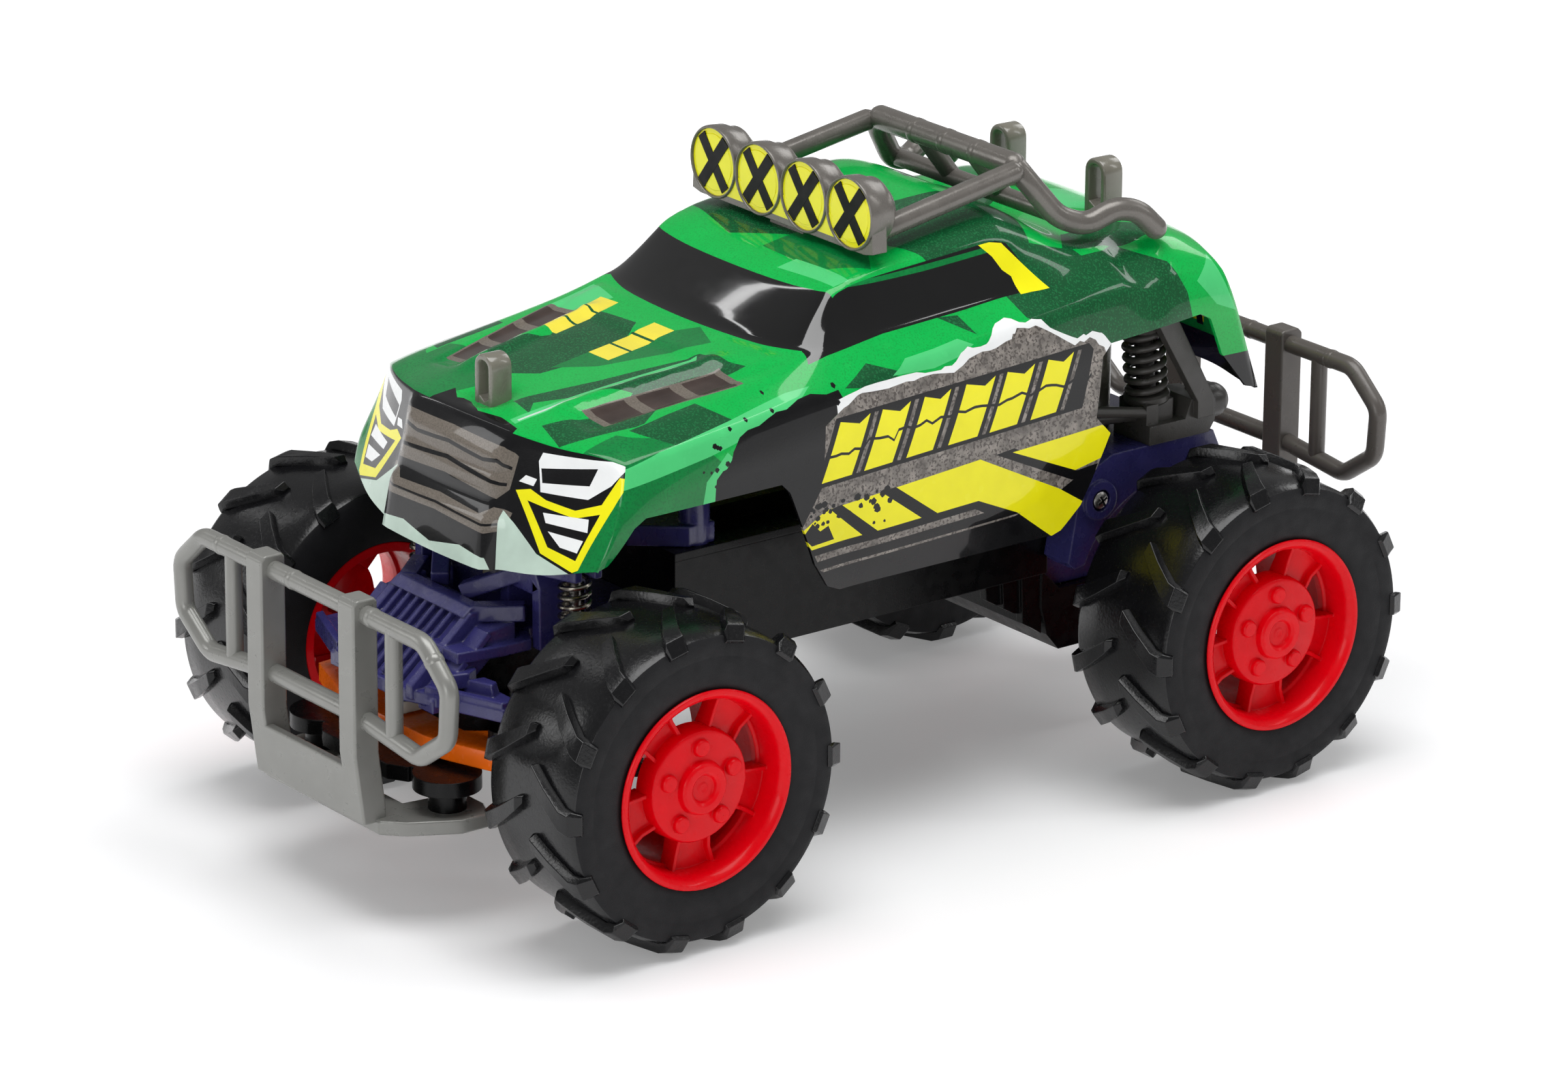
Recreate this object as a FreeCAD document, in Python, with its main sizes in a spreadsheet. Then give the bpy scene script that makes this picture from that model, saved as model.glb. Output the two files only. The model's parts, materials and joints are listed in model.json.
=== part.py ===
"""Radio-controlled monster truck, front towards -Y, left side towards +X, standing on Z = 0.

The truck is an assembly: a thin printed body shell on three posts, a grey roof rack with a light
bar, two bar bumpers, a navy and black chassis, sprung front knuckles joined by a tie rod, and a
geared rear axle.  Lengths are in millimetres.
"""
import FreeCAD, Part
import math
import os
import Sketcher
from FreeCAD import Placement, Rotation
from FreeCAD import Vector as V

# Driving dimensions: alias, value, meaning.
DIMENSIONS = [
    ("wheelbase", 184.0, "front axle to rear axle"),
    ("axle_height", 42.5, "wheel centre above the ground"),
    ("tyre_radius", 42.5, "over the lugs"),
    ("lug_height", 1.9, "lug above the carcass"),
    ("tyre_width", 35.8, "inner sidewall to outer sidewall"),
    ("tyre_wall", 3.0, "rubber thickness"),
    ("lug_count", 14, "lugs in each of the two rows"),
    ("rim_radius", 25.3, "outer lip of the hub"),
    ("barrel_radius", 23.6, "hub seat under the tyre bead"),
    ("hub_disc_radius", 15.4, "raised centre disc"),
    ("track_mid", 68.2, "centre plane of a wheel from the centre line"),
    ("kingpin_x", 32.0, "kingpin from the centre line"),
    ("kingpin_radius", 1.5, "steel kingpin"),
    ("axle_radius", 1.5, "steel wheel axle"),
    ("running_gap", 0.05, "radial clearance of a turning pin"),
    ("spring_radius", 4.0, "outer radius of the front coil spring"),
    ("spring_wire", 1.0, "wire diameter"),
    ("steer_arm", 22.0, "kingpin to tie rod pin"),
    ("horn_arm", 18.0, "horn shaft to tie rod pin"),
    ("tub_width", 60.0, "chassis tub"),
    ("tub_length", 120.0, "chassis tub"),
    ("tub_height", 28.0, "chassis tub"),
    ("tub_bottom", 50.0, "underside of the tub above the ground"),
    ("tub_wall", 2.0, "chassis tub"),
    ("shell_wall", 1.2, "body shell sheet"),
    ("rack_tube", 5.2, "roof rack tube diameter"),
    ("bumper_tube", 5.0, "bumper tube diameter"),
    ("bumper_half_width", 58.5, "outer tube axis of a bumper"),
    ("overall_half_length", 152.0, "bumper face from the origin"),
    ("lamp_pitch", 18.8, "roof lamp spacing"),
    ("lamp_radius", 9.6, "roof lamp shroud"),
    ("fine_module", 0.5, "motor pinion and steering gears"),
    ("drive_module", 0.6, "final drive gears"),
    ("pinion_teeth", 10, "motor pinion"),
    ("reduction_teeth", 40, "large wheel of the reduction gear"),
    ("drive_pinion_teeth", 12, "small wheel of the reduction gear"),
    ("final_teeth", 40, "gear on the rear axle"),
    ("sector_teeth", 44, "steering gear on the horn shaft"),
    ("steer_pinion_teeth", 10, "pinion of the steering motor"),
]

doc = FreeCAD.newDocument("monster_truck")
sheet = doc.addObject("Spreadsheet::Sheet", "dims")
for row, (alias, value, meaning) in enumerate(DIMENSIONS, start=1):
    sheet.set(f"A{row}", meaning)
    sheet.set(f"B{row}", str(value))
    sheet.setAlias(f"B{row}", alias)
doc.recompute()

X_AXIS, Y_AXIS, Z_AXIS = V(1, 0, 0), V(0, 1, 0), V(0, 0, 1)
SIDES = (("left", 1), ("right", -1))
nodes = []


def dim(alias):
    """Value of a cell of the sheet."""
    return float(sheet.get(alias))


FRONT_Y = -dim("wheelbase") / 2
REAR_Y = dim("wheelbase") / 2
AXLE_Z = dim("axle_height")


# ---------------------------------------------------------------- helpers
def bind(obj, prop, value):
    """Sets a property to a number, or binds it to an expression given as text."""
    if isinstance(value, str):
        obj.setExpression(prop, value)
    elif prop.startswith("Placement.Base."):
        setattr(obj.Placement.Base, prop[-1], value)
    else:
        setattr(obj, prop, value)


def place(obj, x=0.0, y=0.0, z=0.0):
    base = V(*[0.0 if isinstance(c, str) else c for c in (x, y, z)])
    obj.Placement = Placement(base, obj.Placement.Rotation)
    for letter, value in zip("xyz", (x, y, z)):
        if isinstance(value, str):
            obj.setExpression(f"Placement.Base.{letter}", value)
    return obj


def block(name, length, width, height, x, y, z):
    """Part::Box whose low corner is at x, y, z."""
    obj = doc.addObject("Part::Box", name)
    for prop, value in (("Length", length), ("Width", width), ("Height", height)):
        bind(obj, prop, value)
    return place(obj, x, y, z)


def rod(name, radius, height, start, direction=Z_AXIS):
    """Part::Cylinder from a start point along a direction."""
    obj = doc.addObject("Part::Cylinder", name)
    bind(obj, "Radius", radius)
    bind(obj, "Height", height)
    obj.Placement = Placement(V(*start), Rotation(Z_AXIS, V(*direction)))
    return obj


def fused(name, *shapes):
    obj = doc.addObject("Part::MultiFuse", name)
    obj.Shapes = list(shapes)
    obj.Refine = True
    return obj


def cut(name, base, *tools):
    obj = doc.addObject("Part::Cut", name)
    obj.Base = base
    obj.Tool = tools[0] if len(tools) == 1 else fused(name + "_tools", *tools)
    return obj


def feature(name, shape, placement=None):
    """Part::Feature for a shape made with Part's own functions."""
    obj = doc.addObject("Part::Feature", name)
    obj.Shape = shape
    if placement is not None:
        obj.Placement = placement
    return obj


def node(obj, label):
    """Marks a finished sub-part, whose label names its STEP file."""
    obj.Label = label
    nodes.append(obj)
    return obj


def face_of(points):
    return Part.Face(Part.makePolygon([V(*p) for p in points + [points[0]]]))


def prism_x(profile, low, high):
    """Solid of a (y, z) outline, from x = low to x = high."""
    return face_of([(low, y, z) for y, z in profile]).extrude(V(high - low, 0, 0))


def prism_y(profile, low, high):
    """Solid of an (x, z) outline, from y = low to y = high."""
    return face_of([(x, low, z) for x, z in profile]).extrude(V(0, high - low, 0))


def prism_z(profile, low, high, lean=(0.0, 0.0)):
    """Solid of an (x, y) outline, from z = low to z = high, sheared by lean per unit height."""
    rise = high - low
    return face_of([(x, y, low) for x, y in profile]).extrude(V(lean[0] * rise, lean[1] * rise, rise))


def both_sides(half):
    """Closed outline from its +X half, listed from one end to the other."""
    return half + [(-x, v) for x, v in reversed(half) if x > 0]


def mirrored(shape):
    return shape.mirror(V(0, 0, 0), X_AXIS)


def tube(points, diameter):
    """Round bar along straight runs, with a ball at every corner and end."""
    radius = diameter / 2
    points = [V(*p) for p in points]
    solid = Part.makeSphere(radius, points[0])
    for start, end in zip(points, points[1:]):
        run = end - start
        solid = solid.fuse([Part.makeCylinder(radius, run.Length, start, run), Part.makeSphere(radius, end)])
    return solid.removeSplitter()


def gear(teeth, module, width, bore):
    """Involute spur gear along +Z from z = 0, thinned at the flanks for backlash."""
    pressure = math.radians(20)
    backlash = 0.16 * module
    pitch = teeth * module / 2
    base = pitch * math.cos(pressure)
    root, tip = pitch - 1.25 * module, pitch + 0.95 * module
    half_tooth = math.pi / (2 * teeth) - backlash / pitch
    at_pitch = math.tan(pressure) - pressure
    flank = []
    for step in range(5):
        radius = max(base, root) + (tip - max(base, root)) * step / 4
        roll = math.acos(min(1.0, base / radius))
        flank.append((radius, half_tooth + at_pitch - (math.tan(roll) - roll)))
    outline = []
    for tooth in range(teeth):
        middle = 2 * math.pi * tooth / teeth
        outline.append((root, middle - flank[0][1]))
        outline += [(r, middle - a) for r, a in flank]
        outline += [(r, middle + a) for r, a in reversed(flank)]
        outline.append((root, middle + flank[0][1]))
    points = [(r * math.cos(a), r * math.sin(a), 0) for r, a in outline]
    solid = face_of(points).extrude(V(0, 0, width))
    if bore:
        solid = solid.cut(Part.makeCylinder(bore, width))
    return solid


def sketch_on(body, name, plane, points):
    """Closed polygon sketch on one of a body's own origin planes."""
    sketch = body.newObject("Sketcher::SketchObject", name)
    support = next(f for f in body.Origin.OriginFeatures if f.Role == plane)
    sketch.AttachmentSupport = (support, [""])
    sketch.MapMode = "FlatFace"
    for start, end in zip(points, points[1:] + points[:1]):
        sketch.addGeometry(Part.LineSegment(V(*start, 0), V(*end, 0)), False)
    return sketch


def circle_on(body, name, plane, centre, radius):
    """One-circle sketch whose radius is bound to an expression or a number."""
    sketch = body.newObject("Sketcher::SketchObject", name)
    support = next(f for f in body.Origin.OriginFeatures if f.Role == plane)
    sketch.AttachmentSupport = (support, [""])
    sketch.MapMode = "FlatFace"
    index = sketch.addGeometry(Part.Circle(V(*centre, 0), Z_AXIS, 1.0), False)
    constraint = sketch.addConstraint(Sketcher.Constraint("Radius", index, 1.0))
    if isinstance(radius, str):
        sketch.setExpression(f"Constraints[{constraint}]", radius)
    else:
        sketch.setDatum(constraint, FreeCAD.Units.Quantity(radius, FreeCAD.Units.Length))
    return sketch


# ---------------------------------------------------------------- wheels
def wheel_placement(side, y):
    """Local +Z of a wheel points out of the truck."""
    return Placement(V(side * dim("track_mid"), y, AXLE_Z), Rotation(Z_AXIS, V(side, 0, 0)))


def tyre_shape():
    """Hollow tyre about local Z: a C section turned round, with two staggered rows of lugs."""
    half = dim("tyre_width") / 2
    wall = dim("tyre_wall")
    carcass = dim("tyre_radius") - dim("lug_height")
    bead = dim("barrel_radius")
    shoulder = 2.6
    outer = [
        (bead, -half), (carcass - 1.0, -half), (carcass, -half + shoulder),
        (carcass + 0.15, 0), (carcass, half - shoulder), (carcass - 1.0, half), (bead, half),
    ]
    inner = [
        (bead, half - wall), (carcass - wall - 1.5, half - wall), (carcass - wall, half - wall - 3),
        (carcass - wall, -half + wall + 3), (carcass - wall - 1.5, -half + wall), (bead, -half + wall),
    ]
    section = face_of([(r, 0, z) for r, z in outer + inner])
    solid = section.revolve(V(0, 0, 0), Z_AXIS, 360)
    pitch = 360.0 / dim("lug_count")
    for row, side in enumerate((1, -1)):
        for index in range(int(dim("lug_count"))):
            solid = solid.fuse(lug_shape(side, carcass, half, (index + 0.5 * row) * pitch))
    return solid


def lug_shape(side, carcass, half, angle):
    """One slanted lug of the row on one side, from the sidewall to just short of the middle."""
    width, slant, reach = 3.4, 7.6, 0.4
    top = dim("tyre_radius")
    low, high = carcass - 1.2, top
    rows = ((half - reach, 0.0), (half * 0.62, 1.8), (1.6, slant))
    sections = []
    for z, shift in rows:
        crown = high - (0.9 if z > half - 1 else 0.05)
        corners = [
            (low, shift - width * 0.5), (crown, shift - width * 0.36),
            (crown, shift + width * 0.36), (low, shift + width * 0.5),
        ]
        ring = [V(r * math.cos(t / top), r * math.sin(t / top), side * z) for r, t in corners + corners[:1]]
        sections.append(Part.makePolygon(ring))
    lug = Part.makeLoft(sections, True, True)
    lug.rotate(V(0, 0, 0), Z_AXIS, angle)
    return lug


def hub_master():
    """PartDesign hub about its Z axis: turned section, five windows, five studs and a centre boss."""
    half = dim("tyre_width") / 2
    lip, barrel, disc = dim("rim_radius"), dim("barrel_radius"), dim("hub_disc_radius")
    skin, web_low, web_high, boss_radius = 1.6, half - 11.5, half - 8.5, 7.6
    face = half - 3.0
    body = doc.addObject("PartDesign::Body", "hub_master")
    profile = [
        (0, -half + 9), (4.6, -half + 9), (4.6, web_low), (barrel - skin, web_low), (barrel - skin, -half + 1),
        (barrel, -half + 1), (barrel, half), (lip, half), (lip, half + 0.3), (lip - 0.5, half + 0.6),
        (lip - 1.5, half + 0.6), (barrel - skin, half - 1.2), (barrel - skin, web_high), (disc - 1.2, web_high),
        (disc, face - 1.2), (disc - 0.8, face), (boss_radius, face), (boss_radius, face + 1.2),
        (boss_radius - 0.6, face + 1.6), (4.6, face + 1.6), (4.4, face - 2.0), (0, face - 2.0),
    ]
    section = sketch_on(body, "hub_section", "XZ_Plane", profile)
    turned = body.newObject("PartDesign::Revolution", "hub_turned")
    turned.Profile = section
    turned.ReferenceAxis = (section, ["V_Axis"])
    turned.Angle = 360
    doc.recompute()
    solid_volume = body.Shape.Volume

    half_window = math.radians(22)
    inside, outside = disc - 0.2, barrel - skin
    corners = [
        (outside * math.cos(half_window), -outside * math.sin(half_window)), (outside + 1.0, -4.0),
        (outside + 1.0, 4.0), (outside * math.cos(half_window), outside * math.sin(half_window)),
        (inside * math.cos(half_window * 0.8), inside * math.sin(half_window * 0.8)), (inside, 0.0),
        (inside * math.cos(half_window * 0.8), -inside * math.sin(half_window * 0.8)),
    ]
    corners = [(min(x, outside - 0.1), y) for x, y in corners]
    window = sketch_on(body, "hub_window", "XY_Plane", corners)
    pocket = body.newObject("PartDesign::Pocket", "hub_window_cut")
    pocket.Profile = window
    pocket.Type = 0
    pocket.Length = half
    pocket.Reversed = True
    doc.recompute()
    around = next(f for f in body.Origin.OriginFeatures if f.Role == "Z_Axis")
    windows = body.newObject("PartDesign::PolarPattern", "hub_windows")
    windows.Originals = [pocket]
    windows.Axis = (around, [""])
    windows.Angle = 360
    windows.Occurrences = 5
    body.Tip = windows
    doc.recompute()
    assert body.Shape.Volume < solid_volume - 100, "the hub windows cut nothing"

    stud_sketch = circle_on(body, "hub_stud", "XY_Plane", (11.4, 0), 2.1)
    stud = body.newObject("PartDesign::Pad", "hub_stud_pad")
    stud.Profile = stud_sketch
    stud.Length = face + 1.0
    doc.recompute()
    studs = body.newObject("PartDesign::PolarPattern", "hub_studs")
    studs.Originals = [stud]
    studs.Axis = (around, [""])
    studs.Angle = 360
    studs.Occurrences = 5
    body.Tip = studs

    bore_sketch = circle_on(body, "hub_bore", "XY_Plane", (0, 0), "dims.axle_radius")
    bore = body.newObject("PartDesign::Pocket", "hub_bore_cut")
    bore.Profile = bore_sketch
    bore.Type = 0
    bore.Length = 2 * (face - 3.0)
    bore.Midplane = True
    doc.recompute()
    body.Tip = bore
    doc.recompute()
    return body


def build_wheels():
    tyre = tyre_shape()
    hub = hub_master().Shape
    for end, y in (("front", FRONT_Y), ("rear", REAR_Y)):
        for name, side in SIDES:
            node(feature(f"tyre_{end}_{name}", tyre.copy(), wheel_placement(side, y)), f"tyre_{end}_{name}")
            node(feature(f"hub_{end}_{name}", hub.copy(), wheel_placement(side, y)), f"hub_{end}_{name}")


# ---------------------------------------------------------------- front corners
KNUCKLE_LOW, KNUCKLE_TOP = 37.3, 66.0
UPPER_ARM_LOW, UPPER_ARM_TOP = 82.0, 85.5
WASHER = 0.8
HUB_INNER_X = 59.3
PIN_DROP = 8.5
ARM_LOW = 43.8
POST_Y = -93.5


def build_front_corner(name, side):
    """Kingpin, spring, washer, knuckle and wheel axle of one front corner."""
    kx = side * dim("kingpin_x")
    pin_r, gap = dim("kingpin_radius"), dim("running_gap")
    pin = rod(f"kingpin_{name}", "dims.kingpin_radius", 56.5, (kx, FRONT_Y, 31.6))
    head = rod(f"kingpin_head_{name}", "dims.kingpin_radius + 1.2", 1.4, (kx, FRONT_Y, 31.6))
    node(fused(f"kingpin_front_{name}", pin, head), f"kingpin_front_{name}")

    ring = rod(f"washer_blank_{name}", "dims.spring_radius + 0.4", WASHER, (kx, FRONT_Y, KNUCKLE_TOP + 0.05))
    seat = (kx, FRONT_Y, KNUCKLE_TOP + 0.05)
    hole = rod(f"washer_hole_{name}", "dims.kingpin_radius + dims.running_gap", WASHER, seat)
    node(cut(f"spring_washer_{name}", ring, hole), f"spring_washer_{name}")

    low, high = KNUCKLE_TOP + WASHER + 0.05, UPPER_ARM_LOW
    wire = dim("spring_wire")
    mean = dim("spring_radius") - wire / 2
    turns = 5
    helix = Part.makeHelix((high - low - wire) / turns, high - low - wire, mean)
    section = Part.Wire([Part.makeCircle(wire / 2, V(mean, 0, 0), Y_AXIS)])
    coil = Part.Wire(helix).makePipeShell([section], True, True)
    node(feature(f"spring_front_{name}", coil, Placement(V(kx, FRONT_Y, low + wire / 2), Rotation())),
         f"spring_front_{name}")

    barrel_y, barrel_z = FRONT_Y, AXLE_Z
    sleeve = Part.makeCylinder(5.0, KNUCKLE_TOP - KNUCKLE_LOW, V(kx, FRONT_Y, KNUCKLE_LOW))
    carrier = Part.makeBox(16, 12, 14, V(kx + (2 if side > 0 else -18), barrel_y - 6, barrel_z - 5.2))
    barrel = Part.makeCylinder(5.0, HUB_INNER_X - 0.4 - abs(kx), V(kx, barrel_y, barrel_z), V(side, 0, 0))
    reach = dim("steer_arm")
    arm = Part.makeBox(7, reach, 3, V(kx - 3.5, FRONT_Y - reach, ARM_LOW))
    arm_end = Part.makeCylinder(3.5, 3, V(kx, FRONT_Y - reach, ARM_LOW))
    arm_pin = Part.makeCylinder(1.5, PIN_DROP, V(kx, FRONT_Y - reach, ARM_LOW - PIN_DROP))
    solid = sleeve.fuse([carrier, barrel, arm, arm_end, arm_pin])
    solid = solid.cut(Part.makeCylinder(pin_r + gap, 60, V(kx, FRONT_Y, 30)))
    hole_start = V(kx + side * 4.2, barrel_y, barrel_z)
    axle_hole = Part.makeCylinder(dim("axle_radius") + gap, 60, hole_start, V(side, 0, 0))
    node(feature(f"knuckle_{name}", solid.cut(axle_hole).removeSplitter()), f"knuckle_front_{name}")

    axle = rod(f"stub_axle_{name}", "dims.axle_radius", 43.0, (kx + side * 5.0, barrel_y, barrel_z), (side, 0, 0))
    node(axle, f"stub_axle_front_{name}")


def build_steering():
    """Tie rod, steering horn with its gear, motor pinion, steering motor and its box."""
    rod_low, rod_high = 38.4, 43.2
    centre_y = FRONT_Y - dim("horn_arm") - 12.0
    pin_y = FRONT_Y - dim("steer_arm")
    kx = dim("kingpin_x")
    half_outline = [
        (0, centre_y - 5), (17, centre_y - 5), (24, centre_y - 3), (41, pin_y - 5), (42, pin_y + 3.6),
        (26, pin_y + 4.6), (20, centre_y + 5), (0, centre_y + 5),
    ]
    bar = prism_z(both_sides(half_outline), rod_low, rod_high)
    for x, y in ((kx, pin_y), (-kx, pin_y), (0, centre_y)):
        bar = bar.cut(Part.makeBox(3.6, 4.4, 8, V(x - 1.8, y - 1.65, rod_low - 1)))
    node(feature("tie_rod_bar", bar), "tie_rod")

    shaft_y = centre_y + dim("horn_arm")
    horn = Part.makeCylinder(4.0, 3, V(0, shaft_y, ARM_LOW))
    horn = horn.fuse([
        Part.makeBox(6, dim("horn_arm"), 3, V(-3, centre_y, ARM_LOW)),
        Part.makeCylinder(3.0, 3, V(0, centre_y, ARM_LOW)),
        Part.makeCylinder(1.5, 5.6, V(0, centre_y, ARM_LOW - 5.6)),
        Part.makeCylinder(2.2, 14, V(0, shaft_y, ARM_LOW)),
    ])
    node(feature("horn", horn.removeSplitter()), "steering_horn")
    sector = gear(int(dim("sector_teeth")), dim("fine_module"), 2.4, 2.2)
    node(feature("sector", sector, Placement(V(0, shaft_y, 51.0), Rotation())), "steering_gear")

    distance = (dim("sector_teeth") + dim("steer_pinion_teeth")) * dim("fine_module") / 2
    teeth = int(dim("steer_pinion_teeth"))
    pinion = gear(teeth, dim("fine_module"), 3.4, 0.75)
    turned = Rotation(Z_AXIS, -90 + 180.0 / teeth)
    node(feature("steer_pinion", pinion, Placement(V(0, shaft_y + distance, 50.5), turned)), "steering_pinion")
    node(rod("steer_shaft", 0.75, 6.0, (0, shaft_y + distance, 50.2)), "steering_motor_shaft")
    node(rod("steer_motor", 6.0, 5.4, (0, shaft_y + distance, 56.6)), "steering_motor")
    return shaft_y


# ---------------------------------------------------------------- bumpers
def bumper_shape():
    """Bar bumper facing -Y with its face at y = 0 and its lower cross bar at z = 0."""
    d = dim("bumper_tube")
    half = dim("bumper_half_width")
    y = 4.2
    wing = [
        (20, y, 27), (48, y, 27), (half, y, 18), (half - 1.0, y, 5), (46, y, -3), (20, y, 0),
    ]
    solid = tube([(-21, y, 27), (21, y, 27)], d).fuse(tube([(-21, y, 0), (21, y, 0)], d))
    for shape in (tube(wing, d), tube([(35, y, 27), (35, y, -2)], d - 0.6)):
        solid = solid.fuse([shape, mirrored(shape)])
    rail = [(0, 30), (2.0, 31), (7.5, 31), (7.5, -9), (9.5, -24), (9.5, -27.6), (2.6, -27.6), (0.0, -9)]
    for x in (16.6, -23.6):
        solid = solid.fuse(prism_x(rail, x, x + 7.0))
    plate = [(0.6, -13), (3.4, -13), (9.5, -27.6), (2.6, -27.6)]
    return solid.fuse(prism_x(plate, -23.6, 23.6)).removeSplitter()


def build_bumpers():
    """Front bumper with a screwed foot, and the same bars turned round at the rear with a tongue."""
    face = dim("overall_half_length")
    front = bumper_shape()
    front.translate(V(0, -face, 54.0))
    foot_low, foot_top = 26.4 - 2.6, 26.4 + 1.2
    foot = both_sides([
        (0, -146), (25, -146), (30, -141), (36.5, -129), (36.5, -121), (30, -118), (20, -118), (18, -128), (0, -134),
    ])
    front = front.fuse(prism_z(foot, foot_low, foot_top))
    for side in (1, -1):
        front = front.cut(Part.makeCylinder(1.4, 6, V(side * 27, -127, foot_low - 1)))
    node(feature("bumper_front_bars", front.removeSplitter()), "front_bumper")

    rear = bumper_shape()
    rear.rotate(V(0, 0, 0), Z_AXIS, 180)
    rear.translate(V(0, face, 67.0))
    tongue = both_sides([(0, 148), (23.6, 148), (23.6, 140), (16, 119), (0, 119)])
    rear = rear.fuse(prism_z(tongue, 40.0, 43.5)).removeSplitter()
    for side in (1, -1):
        rear = rear.cut(Part.makeCylinder(1.2, 8, V(side * 9, 126, 38)))
    node(feature("bumper_rear_bars", rear), "rear_bumper")


# ---------------------------------------------------------------- chassis
def build_tub():
    """Black tub with the battery bay, its door, lid, cells, circuit board and power switch."""
    bottom, wall = dim("tub_bottom"), dim("tub_wall")
    width, length = dim("tub_width"), dim("tub_length")
    y0 = -60.0
    outer = block("tub_outer", "dims.tub_width", "dims.tub_length", "dims.tub_height",
                  "-dims.tub_width / 2", y0, "dims.tub_bottom")
    inner = block("tub_inner", "dims.tub_width - 2 * dims.tub_wall", "dims.tub_length - 2 * dims.tub_wall",
                  "dims.tub_height", "-dims.tub_width / 2 + dims.tub_wall", y0 + wall,
                  "dims.tub_bottom + dims.tub_wall")
    bay = block("tub_bay", 54.0, 62.0, 6.0, -27.0, -20.0, bottom - 2)
    slot = block("tub_switch_slot", 9.0, 3.4, 6.0, -4.5, -41.7, bottom - 2)
    node(cut("tub", outer, inner, bay, slot), "chassis_tub")

    door = block("door_plate", 53.4, 61.4, 2.0, -26.7, -19.7, bottom)
    rib_tools = [block(f"door_groove_{i}", 40.0, 1.6, 0.6, -20.0, -12.0 + 8 * i, bottom) for i in range(7)]
    node(cut("door", door, *rib_tools), "battery_door")

    cells = [rod(f"cell_{i}", 7.1, 50.0, (-25.0, -12.0 + 14.6 * i, bottom + 9.1), (1, 0, 0)) for i in range(4)]
    tips = [rod(f"cell_tip_{i}", 2.6, 1.2, (25.0, -12.0 + 14.6 * i, bottom + 9.1), (1, 0, 0)) for i in range(4)]
    compound = doc.addObject("Part::Compound", "cells")
    compound.Links = [fused(f"aa_cell_{i}", cell, tip) for i, (cell, tip) in enumerate(zip(cells, tips))]
    node(compound, "battery_cells")

    lid = block("lid_plate", width, length, 2.0, -width / 2, y0, bottom + dim("tub_height"))
    ridge = block("lid_ridge", 34.0, 84.0, 5.0, -17.0, -40.0, bottom + dim("tub_height") + 1.5)
    pegs = [rod(f"lid_peg_{i}", 2.0, 7.2, (x, y, bottom + 20.9)) for i, (x, y) in enumerate(
        ((-19, -6), (19, -6), (-19, 32), (19, 32)))]
    node(fused("lid", lid, ridge, *pegs), "chassis_lid")

    board = block("board_plate", 44.0, 46.0, 1.4, -22.0, -10.0, bottom + 19.5)
    chip = block("board_chip", 12.0, 9.0, 2.0, -6.0, 6.0, bottom + 20.9)
    coil = rod("board_coil", 3.0, 5.0, (-14.0, 24.0, bottom + 20.9))
    capacitor = rod("board_capacitor", 2.5, 5.5, (12.0, 22.0, bottom + 20.9))
    node(fused("board", board, chip, coil, capacitor), "circuit_board")

    knob = block("switch_knob", 3.6, 3.0, 5.2, -3.8, -41.5, bottom - 1.2)
    guide = block("switch_guide", 6.0, 6.0, 1.2, -5.0, -43.0, bottom + 2.2)
    node(fused("switch", knob, guide), "power_switch_knob")
    case = block("switch_case", 18.0, 10.0, 6.4, -9.0, -45.0, bottom + wall)
    hollow = block("switch_hollow", 13.0, 7.0, 3.0, -6.5, -43.5, bottom + wall)
    node(cut("switch_body", case, hollow), "power_switch_body")


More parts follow.
